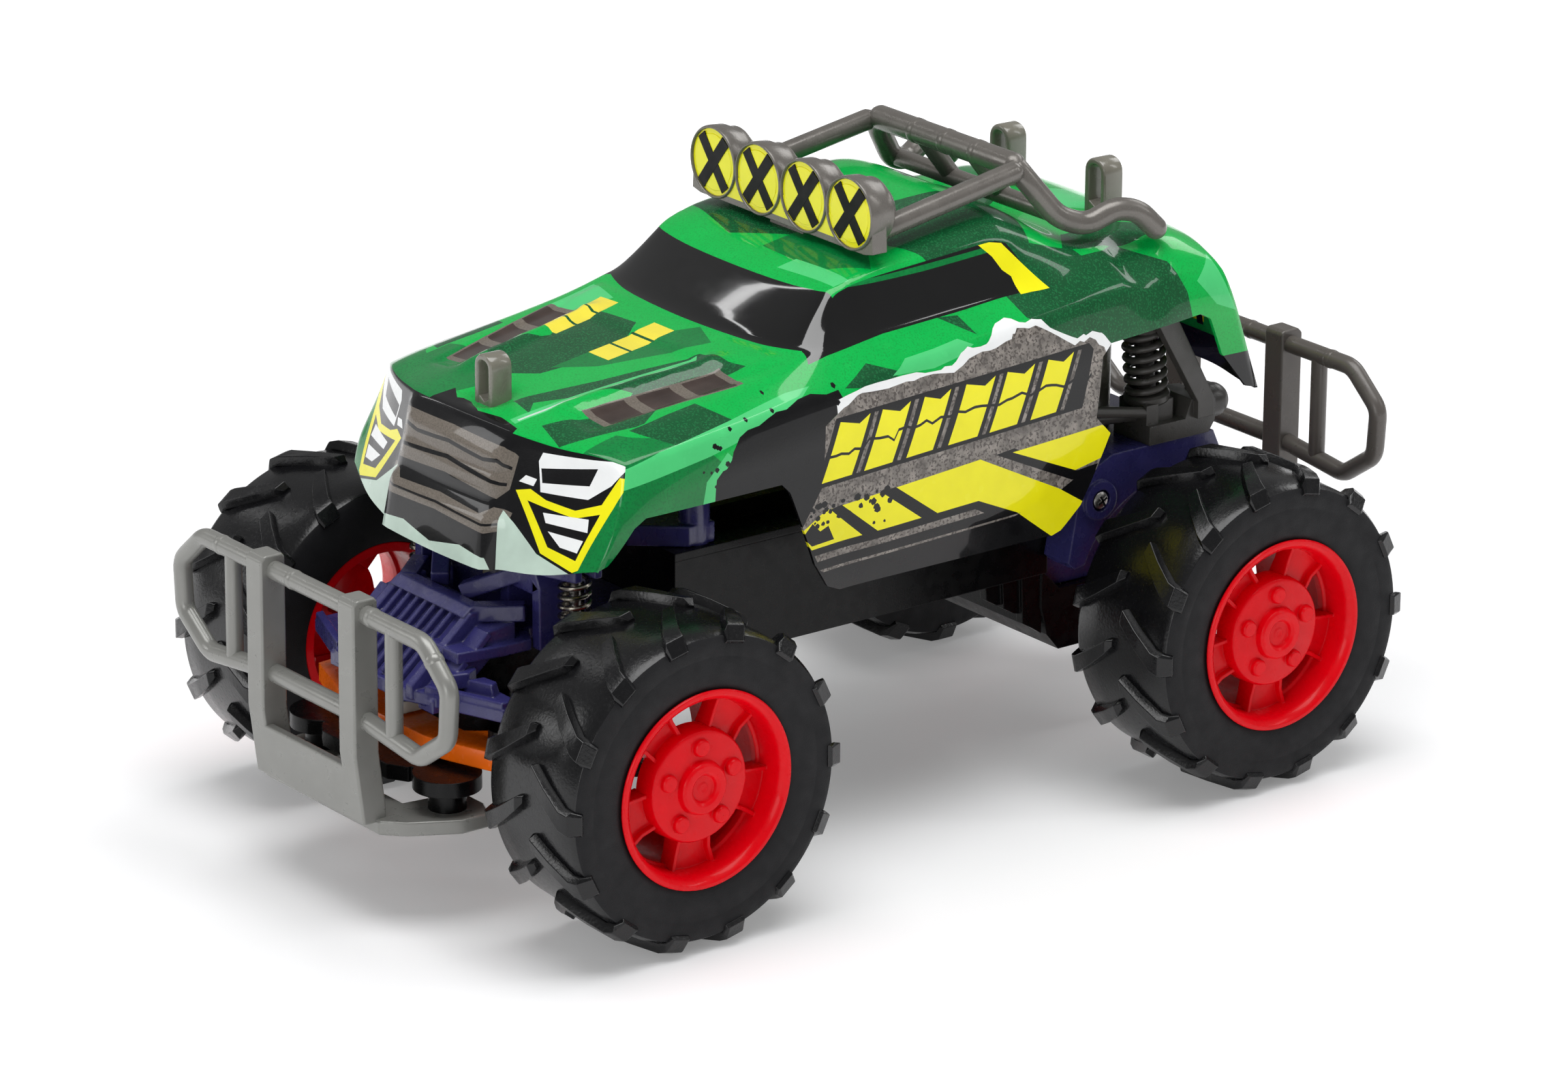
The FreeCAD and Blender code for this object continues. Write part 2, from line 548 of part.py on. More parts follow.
def build_front_frame(shaft_y):
    """Navy front casting with its shield, towers and upper arms, and the black lower frame."""
    kx, gap = dim("kingpin_x"), dim("running_gap")
    base_outline = both_sides([(0, -121), (23, -121), (25, -108), (25, -100), (18, -96), (18, -60), (0, -60)])
    base = prism_z(base_outline, 62.0, 65.0)
    shield = prism_x([(-104, 71), (-112, 70), (-129, 55.5), (-129, 52), (-124, 52), (-109, 65), (-104, 65)], -22, 22)
    skid = prism_z(both_sides([
        (0, -131), (13, -131), (20, -128), (41, -120), (41, -113), (27, -113), (20, -118.4), (0, -118.4),
    ]), 52.0, 55.5)
    cheeks = prism_x([(-127, 52), (-127, 55), (-110, 69), (-104, 69), (-104, 52)], 19.5, 22.5)
    solid = base.fuse([shield, skid, cheeks, mirrored(cheeks)])
    for index in range(5):
        x = -12.8 + 6.0 * index
        solid = solid.fuse(prism_x([(-112, 69), (-127.5, 55.6), (-129.2, 56.8), (-113, 71.2)], x, x + 2.4))
    for x in (-7.0, 3.0):
        solid = solid.fuse(prism_x([(-104, 70), (-111, 69.5), (-113, 72.5), (-104, 74)], x, x + 4.0))
    tower = prism_y([(10, 62), (27, 62), (27, 78), (23, 86), (14, 86), (10, 74)], -99, -85)
    tower = tower.cut(prism_y([(13.5, 65), (23.5, 65), (23.5, 76), (13.5, 76)], -100, -88))
    arm_outline = [(14, -101), (30, -99), (38, -96), (38, -88), (28, -84), (14, -60), (10, -60), (10, -100)]
    arm = prism_z(arm_outline, UPPER_ARM_LOW, UPPER_ARM_TOP)
    arm = arm.cut(Part.makeCylinder(dim("kingpin_radius"), 10, V(kx, FRONT_Y, UPPER_ARM_LOW - 3)))
    beam = tube([(18.5, -96, 80), (6, -98, 71)], 5.5)
    brace = tube([(20, -101, 72), (4, -106, 68)], 4.5)
    boss = Part.makeCylinder(4.0, 12.0, V(24.5, -50, 80.0)).fuse(Part.makeSphere(4.0, V(24.5, -50, 91.0)))
    strap = prism_z([(10, -66), (18, -66), (28, -54), (28, -46), (20, -46), (10, -56)], 80.0, UPPER_ARM_TOP)
    solid = solid.fuse([tower, mirrored(tower), arm, mirrored(arm), beam, mirrored(beam), brace, mirrored(brace)])
    solid = solid.fuse([boss, mirrored(boss), strap, mirrored(strap)])
    spine = prism_z(both_sides([(0, -88), (12, -88), (12, -58), (0, -58)]), UPPER_ARM_LOW, UPPER_ARM_TOP)
    solid = solid.fuse(spine)
    post_seat = Part.makeCylinder(5.6, 9, V(0, POST_Y, 62))
    solid = solid.fuse(post_seat).cut(Part.makeCylinder(3.05, 12, V(0, POST_Y, 65)))
    node(feature("front_casting", solid.removeSplitter()), "front_frame")

    plate = prism_z(both_sides([
        (0, -136), (14, -136), (19, -133), (19, -120), (22, -104), (38, -98), (38, -86), (22, -80), (22, -62), (0, -62),
    ]), 33.0, 36.9)
    riser = prism_x([(-70, 33), (-62, 33), (-60, 50), (-60, 61.9), (-66, 61.9), (-70, 40)], -18, 18)
    lower = plate.fuse(riser)
    for side in (1, -1):
        flange = Part.makeCylinder(8.6, 3.9, V(side * 27, -127, 33.0))
        foot_boss = Part.makeCylinder(4.8, 5.6, V(side * 27, -127, 27.6))
        neck = Part.makeBox(10, 10, 3.9, V(side * 19 - 5, -132, 33.0))
        lower = lower.fuse([flange, foot_boss, neck])
        lower = lower.cut(Part.makeCylinder(1.2, 7, V(side * 27, -127, 27.0)))
        lower = lower.cut(Part.makeCylinder(dim("kingpin_radius"), 12, V(side * kx, FRONT_Y, 29)))
    gear_box = Part.makeBox(28, 44.8, 13.2, V(-14, shaft_y - 13.4, 48.7))
    gear_box = gear_box.cut(Part.makeBox(25, 41.8, 20, V(-12.5, shaft_y - 11.9, 50.2)))
    gear_box = gear_box.cut(prism_x([(-119, 55.4), (-109, 64.1), (-119, 64.1)], -20, 20))
    gear_box = gear_box.cut(Part.makeCylinder(2.26, 10, V(0, shaft_y, 45)))
    pillars = [Part.makeBox(3, 5, 12.2, V(x, -86, 36.7)) for x in (-14, 11)]
    lower = lower.fuse([gear_box] + pillars)
    node(feature("lower_frame", lower.removeSplitter()), "front_lower_frame")


# ---------------------------------------------------------------- rear end
def drive_centres():
    """(y, z) of the reduction gear and of the motor, each at its exact meshing distance."""
    drive = (dim("drive_pinion_teeth") + dim("final_teeth")) * dim("drive_module") / 2
    fine = (dim("pinion_teeth") + dim("reduction_teeth")) * dim("fine_module") / 2
    first, second = math.radians(131.0), math.radians(150.0)
    reduction = (REAR_Y + drive * math.cos(first), AXLE_Z + drive * math.sin(first))
    motor = (reduction[0] + fine * math.cos(second), reduction[1] + fine * math.sin(second))
    return reduction, motor, first, second


def gear_on_x(name, label, shape, x, centre, angle):
    """Puts a gear made along Z onto an axis along X, its first tooth at an angle in the y, z plane."""
    lay = Rotation(V(0, 1, 0), V(0, 0, 1), V(1, 0, 0), "ZXY")
    turn = Rotation(Z_AXIS, math.degrees(angle))
    return node(feature(name, shape, Placement(V(x, centre[0], centre[1]), lay.multiply(turn))), label)


def build_drive():
    """Rear axle, final gear, reduction gear, motor and pinion."""
    reduction, motor, first, second = drive_centres()
    axle = (REAR_Y, AXLE_Z)
    node(rod("rear_shaft", "dims.axle_radius", 160.0, (-80.0, REAR_Y, AXLE_Z), (1, 0, 0)), "rear_axle_shaft")

    final_teeth, small_teeth = int(dim("final_teeth")), int(dim("drive_pinion_teeth"))
    big_teeth, pinion_teeth = int(dim("reduction_teeth")), int(dim("pinion_teeth"))
    final = gear(final_teeth, dim("drive_module"), 6.0, dim("axle_radius"))
    gear_on_x("final_gear", "final_gear", final, -10.0, axle, first)

    small = gear(small_teeth, dim("drive_module"), 7.0, 0)
    small.rotate(V(0, 0, 0), Z_AXIS, math.degrees(first + math.pi) + 180.0 / small_teeth)
    big = gear(big_teeth, dim("fine_module"), 3.0, 0)
    big.rotate(V(0, 0, 0), Z_AXIS, math.degrees(second))
    big.translate(V(0, 0, 7.0))
    cluster = small.fuse([big, Part.makeCylinder(1.0, 49.0, V(0, 0, -14.0))])
    gear_on_x("reduction", "reduction_gear", cluster, -10.5, reduction, 0.0)

    pinion = gear(pinion_teeth, dim("fine_module"), 4.0, 0)
    pinion = pinion.fuse(Part.makeCylinder(0.9, 9, V(0, 0, 0)))
    gear_on_x("pinion", "motor_pinion", pinion, -4.0, motor, second + math.pi + math.pi / pinion_teeth)
    can = Part.makeCylinder(8.8, 17.5, V(5.4, motor[0], motor[1]), X_AXIS)
    can = can.common(Part.makeBox(30, 30, 14.0, V(0, motor[0] - 15, motor[1] - 7.0)))
    can = can.fuse(Part.makeCylinder(3.0, 18.8, V(4.4, motor[0], motor[1]), X_AXIS))
    can = can.cut(Part.makeCylinder(1.0, 8, V(3.0, motor[0], motor[1]), X_AXIS))
    node(feature("motor_can", can), "drive_motor")
    return reduction, motor


def build_rear_housing(reduction, motor):
    """Navy upper housing halves, black ribbed lower housing and the navy arch frames."""
    gap = dim("running_gap")
    wall = 1.8
    profile = [(108, 44.0), (108, 56), (98, 66), (86, 73), (60, 75.0), (60, 50.0), (66, 44.0)]
    inner = [(106, 42.0), (106, 55), (97, 64), (85.5, 71.2), (62, 73.2), (62, 51.0), (67, 42.0)]
    for name, side in SIDES:
        low, high = (0, 25) if side > 0 else (-25, 0)
        half = prism_x(profile, low, high)
        hollow = prism_x(inner, low - 1, high - wall) if side > 0 else prism_x(inner, low + wall, high + 1)
        half = half.cut(hollow)
        half = half.cut(Part.makeCylinder(4.6, 60, V(-30, REAR_Y, AXLE_Z), X_AXIS))
        half = half.cut(Part.makeCylinder(1.0 + gap, 60, V(-30, *reduction), X_AXIS))
        node(feature(f"gearbox_{name}", half.removeSplitter()), f"gearbox_{name}")

    lower = prism_x([(60, 50), (66, 44), (112, 44), (112, 34), (106, 27.2), (66, 27.2), (62, 32), (60, 40)], -28, 28)
    lower = lower.cut(prism_x([
        (62, 50), (67, 42), (67, 45), (110, 45), (110, 35), (105, 29.0), (67, 29.0), (64, 33), (62, 41),
    ], -26, 26))
    lower = lower.cut(Part.makeCylinder(4.6, 60, V(-30, REAR_Y, AXLE_Z), X_AXIS))
    for index, (y, z) in enumerate(((43.0, 44.5), (48.0, 41.5), (53.6, 36.5))):
        rib_outline = [(y, 50), (60.5, 50), (60.5, z - 4), (y + 4, z - 2.0), (y + 0.6, z)]
        rib = prism_x(rib_outline, 23.0 + index, 25.5 + index)
        lower = lower.fuse([rib, mirrored(rib)])
    brace = prism_x([(44, 50), (60.4, 50), (60.4, 40), (50, 44)], -24, 24)
    lower = lower.fuse([brace, Part.makeBox(44, 20, 3.5, V(-22, 111, 36.5))])
    for side in (1, -1):
        lower = lower.cut(Part.makeCylinder(1.2, 8, V(side * 9, 126, 34)))
    node(feature("gearbox_lower", lower.removeSplitter()), "gearbox_lower")

    for name, side in SIDES:
        bush = Part.makeCylinder(4.55, 5.0, V(side * 22.0, REAR_Y, AXLE_Z), V(side, 0, 0))
        bush = bush.fuse(Part.makeCylinder(5.8, 1.6, V(side * 28.1, REAR_Y, AXLE_Z), V(side, 0, 0)))
        bush = bush.fuse(Part.makeCylinder(4.55, 6.4, V(side * 22.0, REAR_Y, AXLE_Z), V(side, 0, 0)))
        bore = Part.makeCylinder(dim("axle_radius") + gap, 12, V(side * 20.0, REAR_Y, AXLE_Z), V(side, 0, 0))
        bush = bush.cut(bore)
        node(feature(f"bush_{name}", bush.removeSplitter()), f"axle_bush_{name}")

    for name, side in SIDES:
        disc = prism_x([(58, 56), (62, 78.5), (72, 83), (106, 83), (112, 70), (112, 62), (60, 54)], 31.0, 41.0)
        arch = Part.makeCylinder(31.0, 30, V(25, REAR_Y, AXLE_Z), X_AXIS)
        frame = disc.cut(arch)
        web = prism_x([(60, 75.4), (60, 79), (72, 83), (104, 83), (104, 78.5), (92, 75.4)], 0.0, 32.0)
        screw_boss = Part.makeCylinder(5.2, 3.2, V(39.0, 67.6, 71.6), X_AXIS)
        frame = frame.fuse([web, screw_boss]).cut(Part.makeCylinder(2.9, 3.0, V(40.3, 67.6, 71.6), X_AXIS))
        frame = frame.cut(Part.makeCylinder(1.15, 5.0, V(36.0, 67.6, 71.6), X_AXIS))
        frame = frame.cut(Part.makeCylinder(3.05, 8, V(19.5, 85, 79.5)))
        frame = frame if side > 0 else mirrored(frame)
        node(feature(f"arch_{name}", frame.removeSplitter()), f"rear_frame_{name}")


def build_rear_trim():
    """Dark grey mouldings: shock seats, towers, link rods and the coil shocks."""
    for name, side in SIDES:
        seat = prism_x([(84, 83), (104, 83), (106, 86), (106, 92), (98, 93), (96, 88), (84, 88)], 27.0, 41.5)
        seat = seat.fuse(Part.makeBox(9.5, 9.5, 7, V(29.2, 84.5, 86.5)))
        knob = Part.makeCylinder(4.6, 7, V(34, 104, 88.5), Y_AXIS).fuse(Part.makeSphere(4.6, V(34, 111, 88.5)))
        knob_low = Part.makeCylinder(4.2, 9, V(29, 104, 87.6), Y_AXIS)
        knob_low = knob_low.fuse(Part.makeSphere(4.2, V(29, 113, 87.6)))
        rods = [tube([(x, 60, z), (x, 84.5, 0.5 * z + 43.2)], 3.0) for x, z in ((38.5, 96), (35.0, 92.5), (31.0, 90.0))]
        clamp = Part.makeBox(11, 4, 6.8, V(29, 84, 86.5))
        seat = seat.fuse([knob, knob_low, clamp] + rods)
        carrier = prism_x([(58, 80), (63, 80), (63, 98), (58, 98)], 30.2, 40.5)
        seat = seat.fuse(carrier)
        tower = prism_x([
            (104, 88), (98.6, 88), (98.6, 92.5), (84.5, 116), (84.0, 118.4), (90.0, 118.4), (104, 93),
        ], 40.6, 43.3)
        top_lug = prism_x([(84, 115.9), (84, 118.4), (90, 118.4), (90, 115.9)], 30.0, 41.0)
        seat = seat.fuse([tower, top_lug])
        solid = seat if side > 0 else mirrored(seat)
        node(feature(f"trim_{name}", solid.removeSplitter()), f"rear_suspension_trim_{name}")

        low, high, lean = 94.1, 114.0, -2.2
        axis = V(34.0, 89.0, low)
        along = V(0, lean, high - low).normalize()
        core = Part.makeCylinder(3.4, high - low, axis, along)
        turns = [axis + along * (2.4 + 3.8 * i) for i in range(5)]
        rings = [Part.makeTorus(4.4, 1.35, centre, along + V(0.12, 0, 0)) for centre in turns]
        cap = Part.makeCylinder(5.8, 2.4, V(34.0, 89.0 + lean, high - 0.6), Z_AXIS)
        shock = core.fuse(rings + [cap]).removeSplitter()
        shock = shock if side > 0 else mirrored(shock)
        node(feature(f"shock_{name}", shock), f"rear_shock_{name}")


# ---------------------------------------------------------------- body
def shell_solid(inset):
    """Outer form of the body shell, or its inner form when inset is the sheet thickness."""
    t = inset
    top = [(-102.5, 116.2), (-94, 118.4), (-30, 129.6), (44, 134.4), (58, 139.5), (95, 141), (106, 132),
           (111, 121.5), (115.4, 108), (118, 92)]
    nose = [(-106.0, 106), (-107.0, 102), (-105.0, 96), (-109.0, 92), (-110.0, 84)]
    deep = 60.0 - 3 * t
    side = [(118.0 - t, deep)] + [(y - t * 0.8, z - t) for y, z in reversed(top)]
    side += [(y + t, z - 0.3 * t) for y, z in nose] + [(-110.0 + t, deep)]
    section = both_sides([
        (55.0 - t, deep), (55.0 - t, 106), (51.6 - t, 115.4 - 0.5 * t), (43.6 - t, 130), (41.0 - t, 150), (0, 150),
    ])
    tail = [(50.5 - t, 80), (47.0 - t, 113), (43 - t, 118.5 - t), (0, 119 - t)]
    flank = [(55.0 - t, 58)] + tail
    front = [(0, -110.6 + t), (20.5, -110.6 + t), (23.5, -107 + t), (51.5 - t, -101.6 + t), (55.0 - t, -97 + t)]
    plan = both_sides(front + flank)
    raked = prism_z(plan, 84.0, 150.0, (0, 0.33)).fuse(prism_z(plan, deep, 84.0))
    raked = raked.fuse(prism_z(both_sides([(0, -60), (55 - t, -60)] + flank), deep, 150))
    body = prism_x(side, -60, 60).common(prism_y(section, -130, 130)).common(raked)
    body = body.common(prism_z(both_sides([(0, -130), (60, -130), (60, 60)] + tail), deep - 1, 151))
    cab_side = [
        (-34, 126 - t), (-31.5 + t, 129.8 - t), (-17.0 + t, 147.0 - t), (-6, 147.6 - t), (38 - t, 153.8 - t),
        (44 - t, 152 - t), (60.5 - t, 137.5), (62 - t, 126),
    ]
    cab_front = both_sides([
        (44.0 - t, 126), (43.4 - t, 130.5), (37.6 - t, 146 - 0.4 * t), (33.5 - t, 151 - t), (26 - t, 160), (0, 160),
    ])
    cab_plan = both_sides([(0, -38.5 + t), (24, -34 + t), (44.5 - t, -25 + t), (44.5 - t, 60), (0, 64)])
    cab = prism_x(cab_side, -60, 60).common(prism_y(cab_front, -60, 80))
    cab = cab.common(prism_z(cab_plan, 120, 170, (0, 0.18)))
    return body.fuse(cab)


def lower_edge_cutter():
    """Everything below the shell's lower edge, seen from the side."""
    edge = [(-125, 40), (-125, 84.5), (-108, 84.5), (-104, 88.6), (-97.5, 88.6), (-90.5, 99.6),
            (-66, 101.6), (-44.5, 101.6), (-34.5, 79), (-29.6, 71.6), (-25, 70.0), (42, 69.8), (51, 76.8),
            (59.8, 95.4), (54.8, 103.6), (59, 117.5), (80, 117.6), (96, 119.2), (100, 117), (108, 96),
            (112, 94), (125, 94), (125, 40)]
    return prism_x(edge, -70, 70)


def build_shell():
    """Thin shell on its posts: outer form less inner form, trimmed along its edge and pierced."""
    shell = shell_solid(0.0).cut(shell_solid(dim("shell_wall"))).cut(lower_edge_cutter())
    for x, y, size in ((0, POST_Y, 3.6), (19.5, 85, 4.4), (-19.5, 85, 4.4)):
        shell = shell.cut(Part.makeBox(2 * size, 2 * size, 60, V(x - size, y - size, 105)))
    pieces = sorted(shell.Solids, key=lambda s: -s.Volume)
    node(feature("shell", pieces[0]), "body_shell")


def post_shape(width, depth, seat, foot, height):
    """Loop post standing at the origin of X and Y: round shank, shoulder and slotted head."""
    top = seat + height
    half = width / 2
    outline = both_sides([(half, seat - 8), (half, seat + 3), (half - 0.7, top - 2.4), (half - 2.4, top)])
    head = prism_y(outline, -depth / 2, depth / 2)
    opening = both_sides([(half - 1.7, seat + 3.2), (half - 2.0, top - 3.2), (0, top - 1.9)])
    slot = prism_y(opening, -depth, depth)
    head = head.cut(slot)
    shank = Part.makeCylinder(3.0, seat - 7 - foot, V(0, 0, foot))
    shoulder = Part.makeCylinder(5.0, 1.4, V(0, 0, seat - 3.3))
    return head.fuse([shank, shoulder]).removeSplitter()


def build_posts():
    front = post_shape(6.6, 6.2, 117.6, 65.0, 16.0)
    front.translate(V(0, POST_Y, 0))
    node(feature("post_front", front), "body_post_front")
    for name, side in SIDES:
        post = post_shape(8.2, 7.4, 140.6, 79.5, 14.8)
        post.translate(V(side * 19.5, 85, 0))
        node(feature(f"post_{name}", post), f"body_post_rear_{name}")


def build_rack():
    """Roof rack: side rails, hoop and rear legs, with the light bar in front and its four lenses."""
    d = dim("rack_tube")
    rail = tube([(30.5, 1, 152.2), (30.0, 48.5, 160.6)], d - 0.4)
    leg = tube([(26.5, 48.5, 161.0), (30.0, 50.5, 158.6), (34.2, 59, 147.4), (37, 66, 144.8), (39, 74, 149.4),
                (41, 79.5, 147.0), (42.2, 82.6, 142.8)], d)
    strut = tube([(10.5, 50, 159.0), (10.5, 60, 148.6)], d - 1.0)
    hoop = tube([(-27, 48.5, 161.2), (27, 48.5, 161.2)], d + 0.6)
    cross = tube([(-33.6, 59, 147.6), (33.6, 59, 147.6)], d - 1.0)
    rack = hoop.fuse([rail, mirrored(rail), leg, mirrored(leg), strut, mirrored(strut), cross])
    node(feature("rack", rack.removeSplitter()), "roof_rack")

    pitch, radius = dim("lamp_pitch"), dim("lamp_radius")
    y_face, z_mid = -5.4, 157.9
    centres = [(-1.5 + i) * pitch for i in range(4)]
    bar = Part.makeBox(3 * pitch + 2 * radius - 1.0, 7, 9.0, V(-1.5 * pitch - radius + 0.5, y_face, 148.9))
    for x in centres:
        shroud = Part.makeCylinder(radius, 6.0, V(x, y_face, z_mid), Y_AXIS)
        cone = Part.makeCone(radius, radius * 0.55, 5.0, V(x, y_face + 6.0, z_mid), Y_AXIS)
        bar = bar.fuse([shroud, cone])
    for x in centres:
        bar = bar.cut(Part.makeCylinder(radius - 0.9, 1.2, V(x, y_face - 0.01, z_mid), Y_AXIS))
    foot_outline = both_sides([(0, 148.9), (34, 148.9), (37.5, 149.8), (37.5, 152), (0, 152)])
    foot = prism_y(foot_outline, y_face + 1.5, y_face + 6.5)
    bar = bar.fuse(foot)
    bar = bar.cut([rail, mirrored(rail)])
    node(feature("lamps", bar.removeSplitter()), "light_bar")
    stickers = doc.addObject("Part::Compound", "lens_group")
    stickers.Links = [
        rod(f"lens_{i}", radius - 1.0, 0.9, (x, y_face + 0.25, z_mid), (0, 1, 0)) for i, x in enumerate(centres)
    ]
    node(stickers, "lamp_lenses")


def screw(name, head_radius, start, direction, length):
    """Pan head screw whose head sits at start, its shank running along direction."""
    head = rod(f"{name}_head", head_radius, 1.4, start, direction)
    shank = rod(f"{name}_shank", 1.15, length, V(*start) + direction * 1.3, direction)
    return fused(name, head, shank)


def build_screws():
    front = [screw(f"bumper_screw_{n}", 2.5, (s * 27, -127, 22.4), Z_AXIS, 8.0) for n, s in SIDES]
    rear = [screw(f"tongue_screw_{n}", 2.5, (s * 9, 126, 35.1), Z_AXIS, 5.0) for n, s in SIDES]
    frame = [screw(f"frame_screw_{n}", 2.5, (s * 41.7, 67.6, 71.6), V(-s, 0, 0), 2.4) for n, s in SIDES]
    for label, items in (("bumper_screws", front + rear), ("frame_screws", frame)):
        group = doc.addObject("Part::Compound", label + "_group")
        group.Links = items
        node(group, label)


# ---------------------------------------------------------------- assembly
build_wheels()
for side_name, side_sign in SIDES:
    build_front_corner(side_name, side_sign)
horn_shaft_y = build_steering()
build_bumpers()
build_tub()
build_front_frame(horn_shaft_y)
reduction_yz, motor_yz = build_drive()
build_rear_housing(reduction_yz, motor_yz)
build_rear_trim()
build_shell()
build_posts()
build_rack()
build_screws()
doc.recompute()

for obj in doc.Objects:
    if "Invalid" in obj.State or "Error" in obj.State:
        raise RuntimeError(f"{obj.Name} did not recompute")
for obj in nodes:
    if obj.Shape.isNull() or not obj.Shape.isValid() or not obj.Shape.Solids:
        raise RuntimeError(f"{obj.Label} has no valid shape")
os.makedirs("parts", exist_ok=True)
for obj in nodes:
    obj.Shape.exportStep(f"parts/{obj.Label}.step")
    print(obj.Label, len(obj.Shape.Solids), round(obj.Shape.Volume))
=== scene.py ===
"""Looks of the radio-controlled monster truck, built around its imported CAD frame.

Sizes are written in millimetres and turned into metres when a mesh is made.  The truck faces -Y and
its left side is +X.
"""
import json
import math
import random
import bmesh
import bpy
from mathutils import Matrix, Vector
from mathutils.bvhtree import BVHTree
from mathutils.interpolate import poly_3d_calc


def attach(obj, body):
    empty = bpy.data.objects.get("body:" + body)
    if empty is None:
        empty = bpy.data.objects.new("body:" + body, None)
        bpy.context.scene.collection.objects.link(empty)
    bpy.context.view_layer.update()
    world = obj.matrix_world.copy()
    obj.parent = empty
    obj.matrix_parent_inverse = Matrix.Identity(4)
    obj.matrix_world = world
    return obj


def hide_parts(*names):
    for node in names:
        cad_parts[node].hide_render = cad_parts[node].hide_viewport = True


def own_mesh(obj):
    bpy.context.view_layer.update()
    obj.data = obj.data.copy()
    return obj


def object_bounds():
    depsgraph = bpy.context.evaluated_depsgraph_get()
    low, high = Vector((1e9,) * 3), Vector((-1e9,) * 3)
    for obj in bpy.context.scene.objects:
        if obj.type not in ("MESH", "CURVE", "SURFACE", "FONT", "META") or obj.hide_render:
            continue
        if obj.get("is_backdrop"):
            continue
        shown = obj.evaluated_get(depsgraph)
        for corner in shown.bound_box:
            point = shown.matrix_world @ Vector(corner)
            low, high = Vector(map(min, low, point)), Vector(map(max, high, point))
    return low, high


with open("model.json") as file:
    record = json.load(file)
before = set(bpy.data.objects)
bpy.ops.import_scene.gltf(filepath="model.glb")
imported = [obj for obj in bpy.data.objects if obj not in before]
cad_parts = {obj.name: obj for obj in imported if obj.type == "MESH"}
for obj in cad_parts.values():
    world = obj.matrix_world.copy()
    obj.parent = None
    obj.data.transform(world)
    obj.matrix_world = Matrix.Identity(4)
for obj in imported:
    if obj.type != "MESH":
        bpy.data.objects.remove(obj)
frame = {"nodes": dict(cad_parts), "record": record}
cad_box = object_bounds()
MM = 0.001
FRONT_Y, REAR_Y, AXLE_Z = -92.0, 92.0, 42.5
WHEEL_X = 68.2  # middle of the left tyres
FRONT_POST_Y, REAR_POST_X, REAR_POST_Y = -93.5, 19.5, 85.0
ARM_LOW, ARM_TOP = 82.0, 85.5  # faces of the front casting's upper plate
SCREW = (0, 67.6, 71.6)  # axis of the rear frames' screws
SHEET = 0.9  # thickness of the shell
BEVEL_ANGLE = 32.0  # degrees
X_AXIS, Y_AXIS, Z_AXIS = (1, 0, 0), (0, 1, 0), (0, 0, 1)
random.seed(11)


# ---------------------------------------------------------------- materials
def srgb(display):
    """Linear colour from red, green and blue between 0 and 255."""
    shares = [c / 255 for c in display]
    return tuple(c / 12.92 if c < 0.0404 else ((c + 0.055) / 1.055) ** 2.4 for c in shares) + (1.0,)


def surface(name, color, rough=0.4, tone=0.82, tone_scale=120.0, grain=0.03, grain_scale=3000.0, spread=0.08,
            coat=0.0, metallic=0.0, edge=0.0, dust=0.0, specks=None, level=0.5):
    """Moulded or printed surface: two tones mixed by noise, uneven gloss and a fine grain.

    color is red, green and blue between 0 and 255; edge rounds the normals of hard CAD edges (metres);
    dust lightens patches; specks is a second colour, scale and threshold of small flecks.
    """
    color = srgb(color)
    mat = bpy.data.materials.new(name)
    mat.use_nodes = True
    nodes, links = mat.node_tree.nodes, mat.node_tree.links
    shader = nodes["Principled BSDF"]
    where = nodes.new("ShaderNodeTexCoord")

    def noise(scale, detail=3.0):
        node = nodes.new("ShaderNodeTexNoise")
        node.inputs["Scale"].default_value = scale
        node.inputs["Detail"].default_value = detail
        links.new(where.outputs["Object"], node.inputs["Vector"])
        return node.outputs["Fac"]

    def ranged(source, low, high, start=0.3, end=0.7):
        node = nodes.new("ShaderNodeMapRange")
        for socket, value in (("From Min", start), ("From Max", end), ("To Min", low), ("To Max", high)):
            node.inputs[socket].default_value = value
        links.new(source, node.inputs["Value"])
        return node.outputs["Result"]

    def mixed(factor, first, second):
        node = nodes.new("ShaderNodeMix")
        node.data_type = "RGBA"
        links.new(factor, node.inputs["Factor"])
        for socket, value in ((node.inputs[6], first), (node.inputs[7], second)):
            if isinstance(value, tuple):
                socket.default_value = value
            else:
                links.new(value, socket)
        return node.outputs[2]

    darker = tuple(c * tone for c in color[:3]) + (1.0,)
    paint = mixed(ranged(noise(tone_scale), 0.0, 1.0), darker, color)
    if specks:
        fleck_color, scale, start = specks
        paint = mixed(ranged(noise(scale, 1.0), 0.0, 1.0, start, start + 0.04), paint, srgb(fleck_color))
    if dust:
        pale = tuple(min(1.0, c + 0.12) for c in color[:3]) + (1.0,)
        paint = mixed(ranged(noise(60.0, 6.0), 0.0, dust, 0.5, 0.75), paint, pale)
    links.new(paint, shader.inputs["Base Color"])
    uneven = ranged(noise(tone_scale * 2.3, 5.0), rough - spread, rough + spread)
    links.new(uneven, shader.inputs["Roughness"])
    shader.inputs["Metallic"].default_value = metallic
    shader.inputs["Specular IOR Level"].default_value = level
    shader.inputs["Coat Weight"].default_value = coat
    shader.inputs["Coat Roughness"].default_value = 0.04
    bump = nodes.new("ShaderNodeBump")
    bump.inputs["Strength"].default_value = grain
    bump.inputs["Distance"].default_value = 0.0005
    links.new(noise(grain_scale, 2.0), bump.inputs["Height"])
    if edge:
        bevel = nodes.new("ShaderNodeBevel")
        bevel.samples = 4
        bevel.inputs["Radius"].default_value = edge
        links.new(bevel.outputs["Normal"], bump.inputs["Normal"])
    links.new(bump.outputs["Normal"], shader.inputs["Normal"])
    return mat


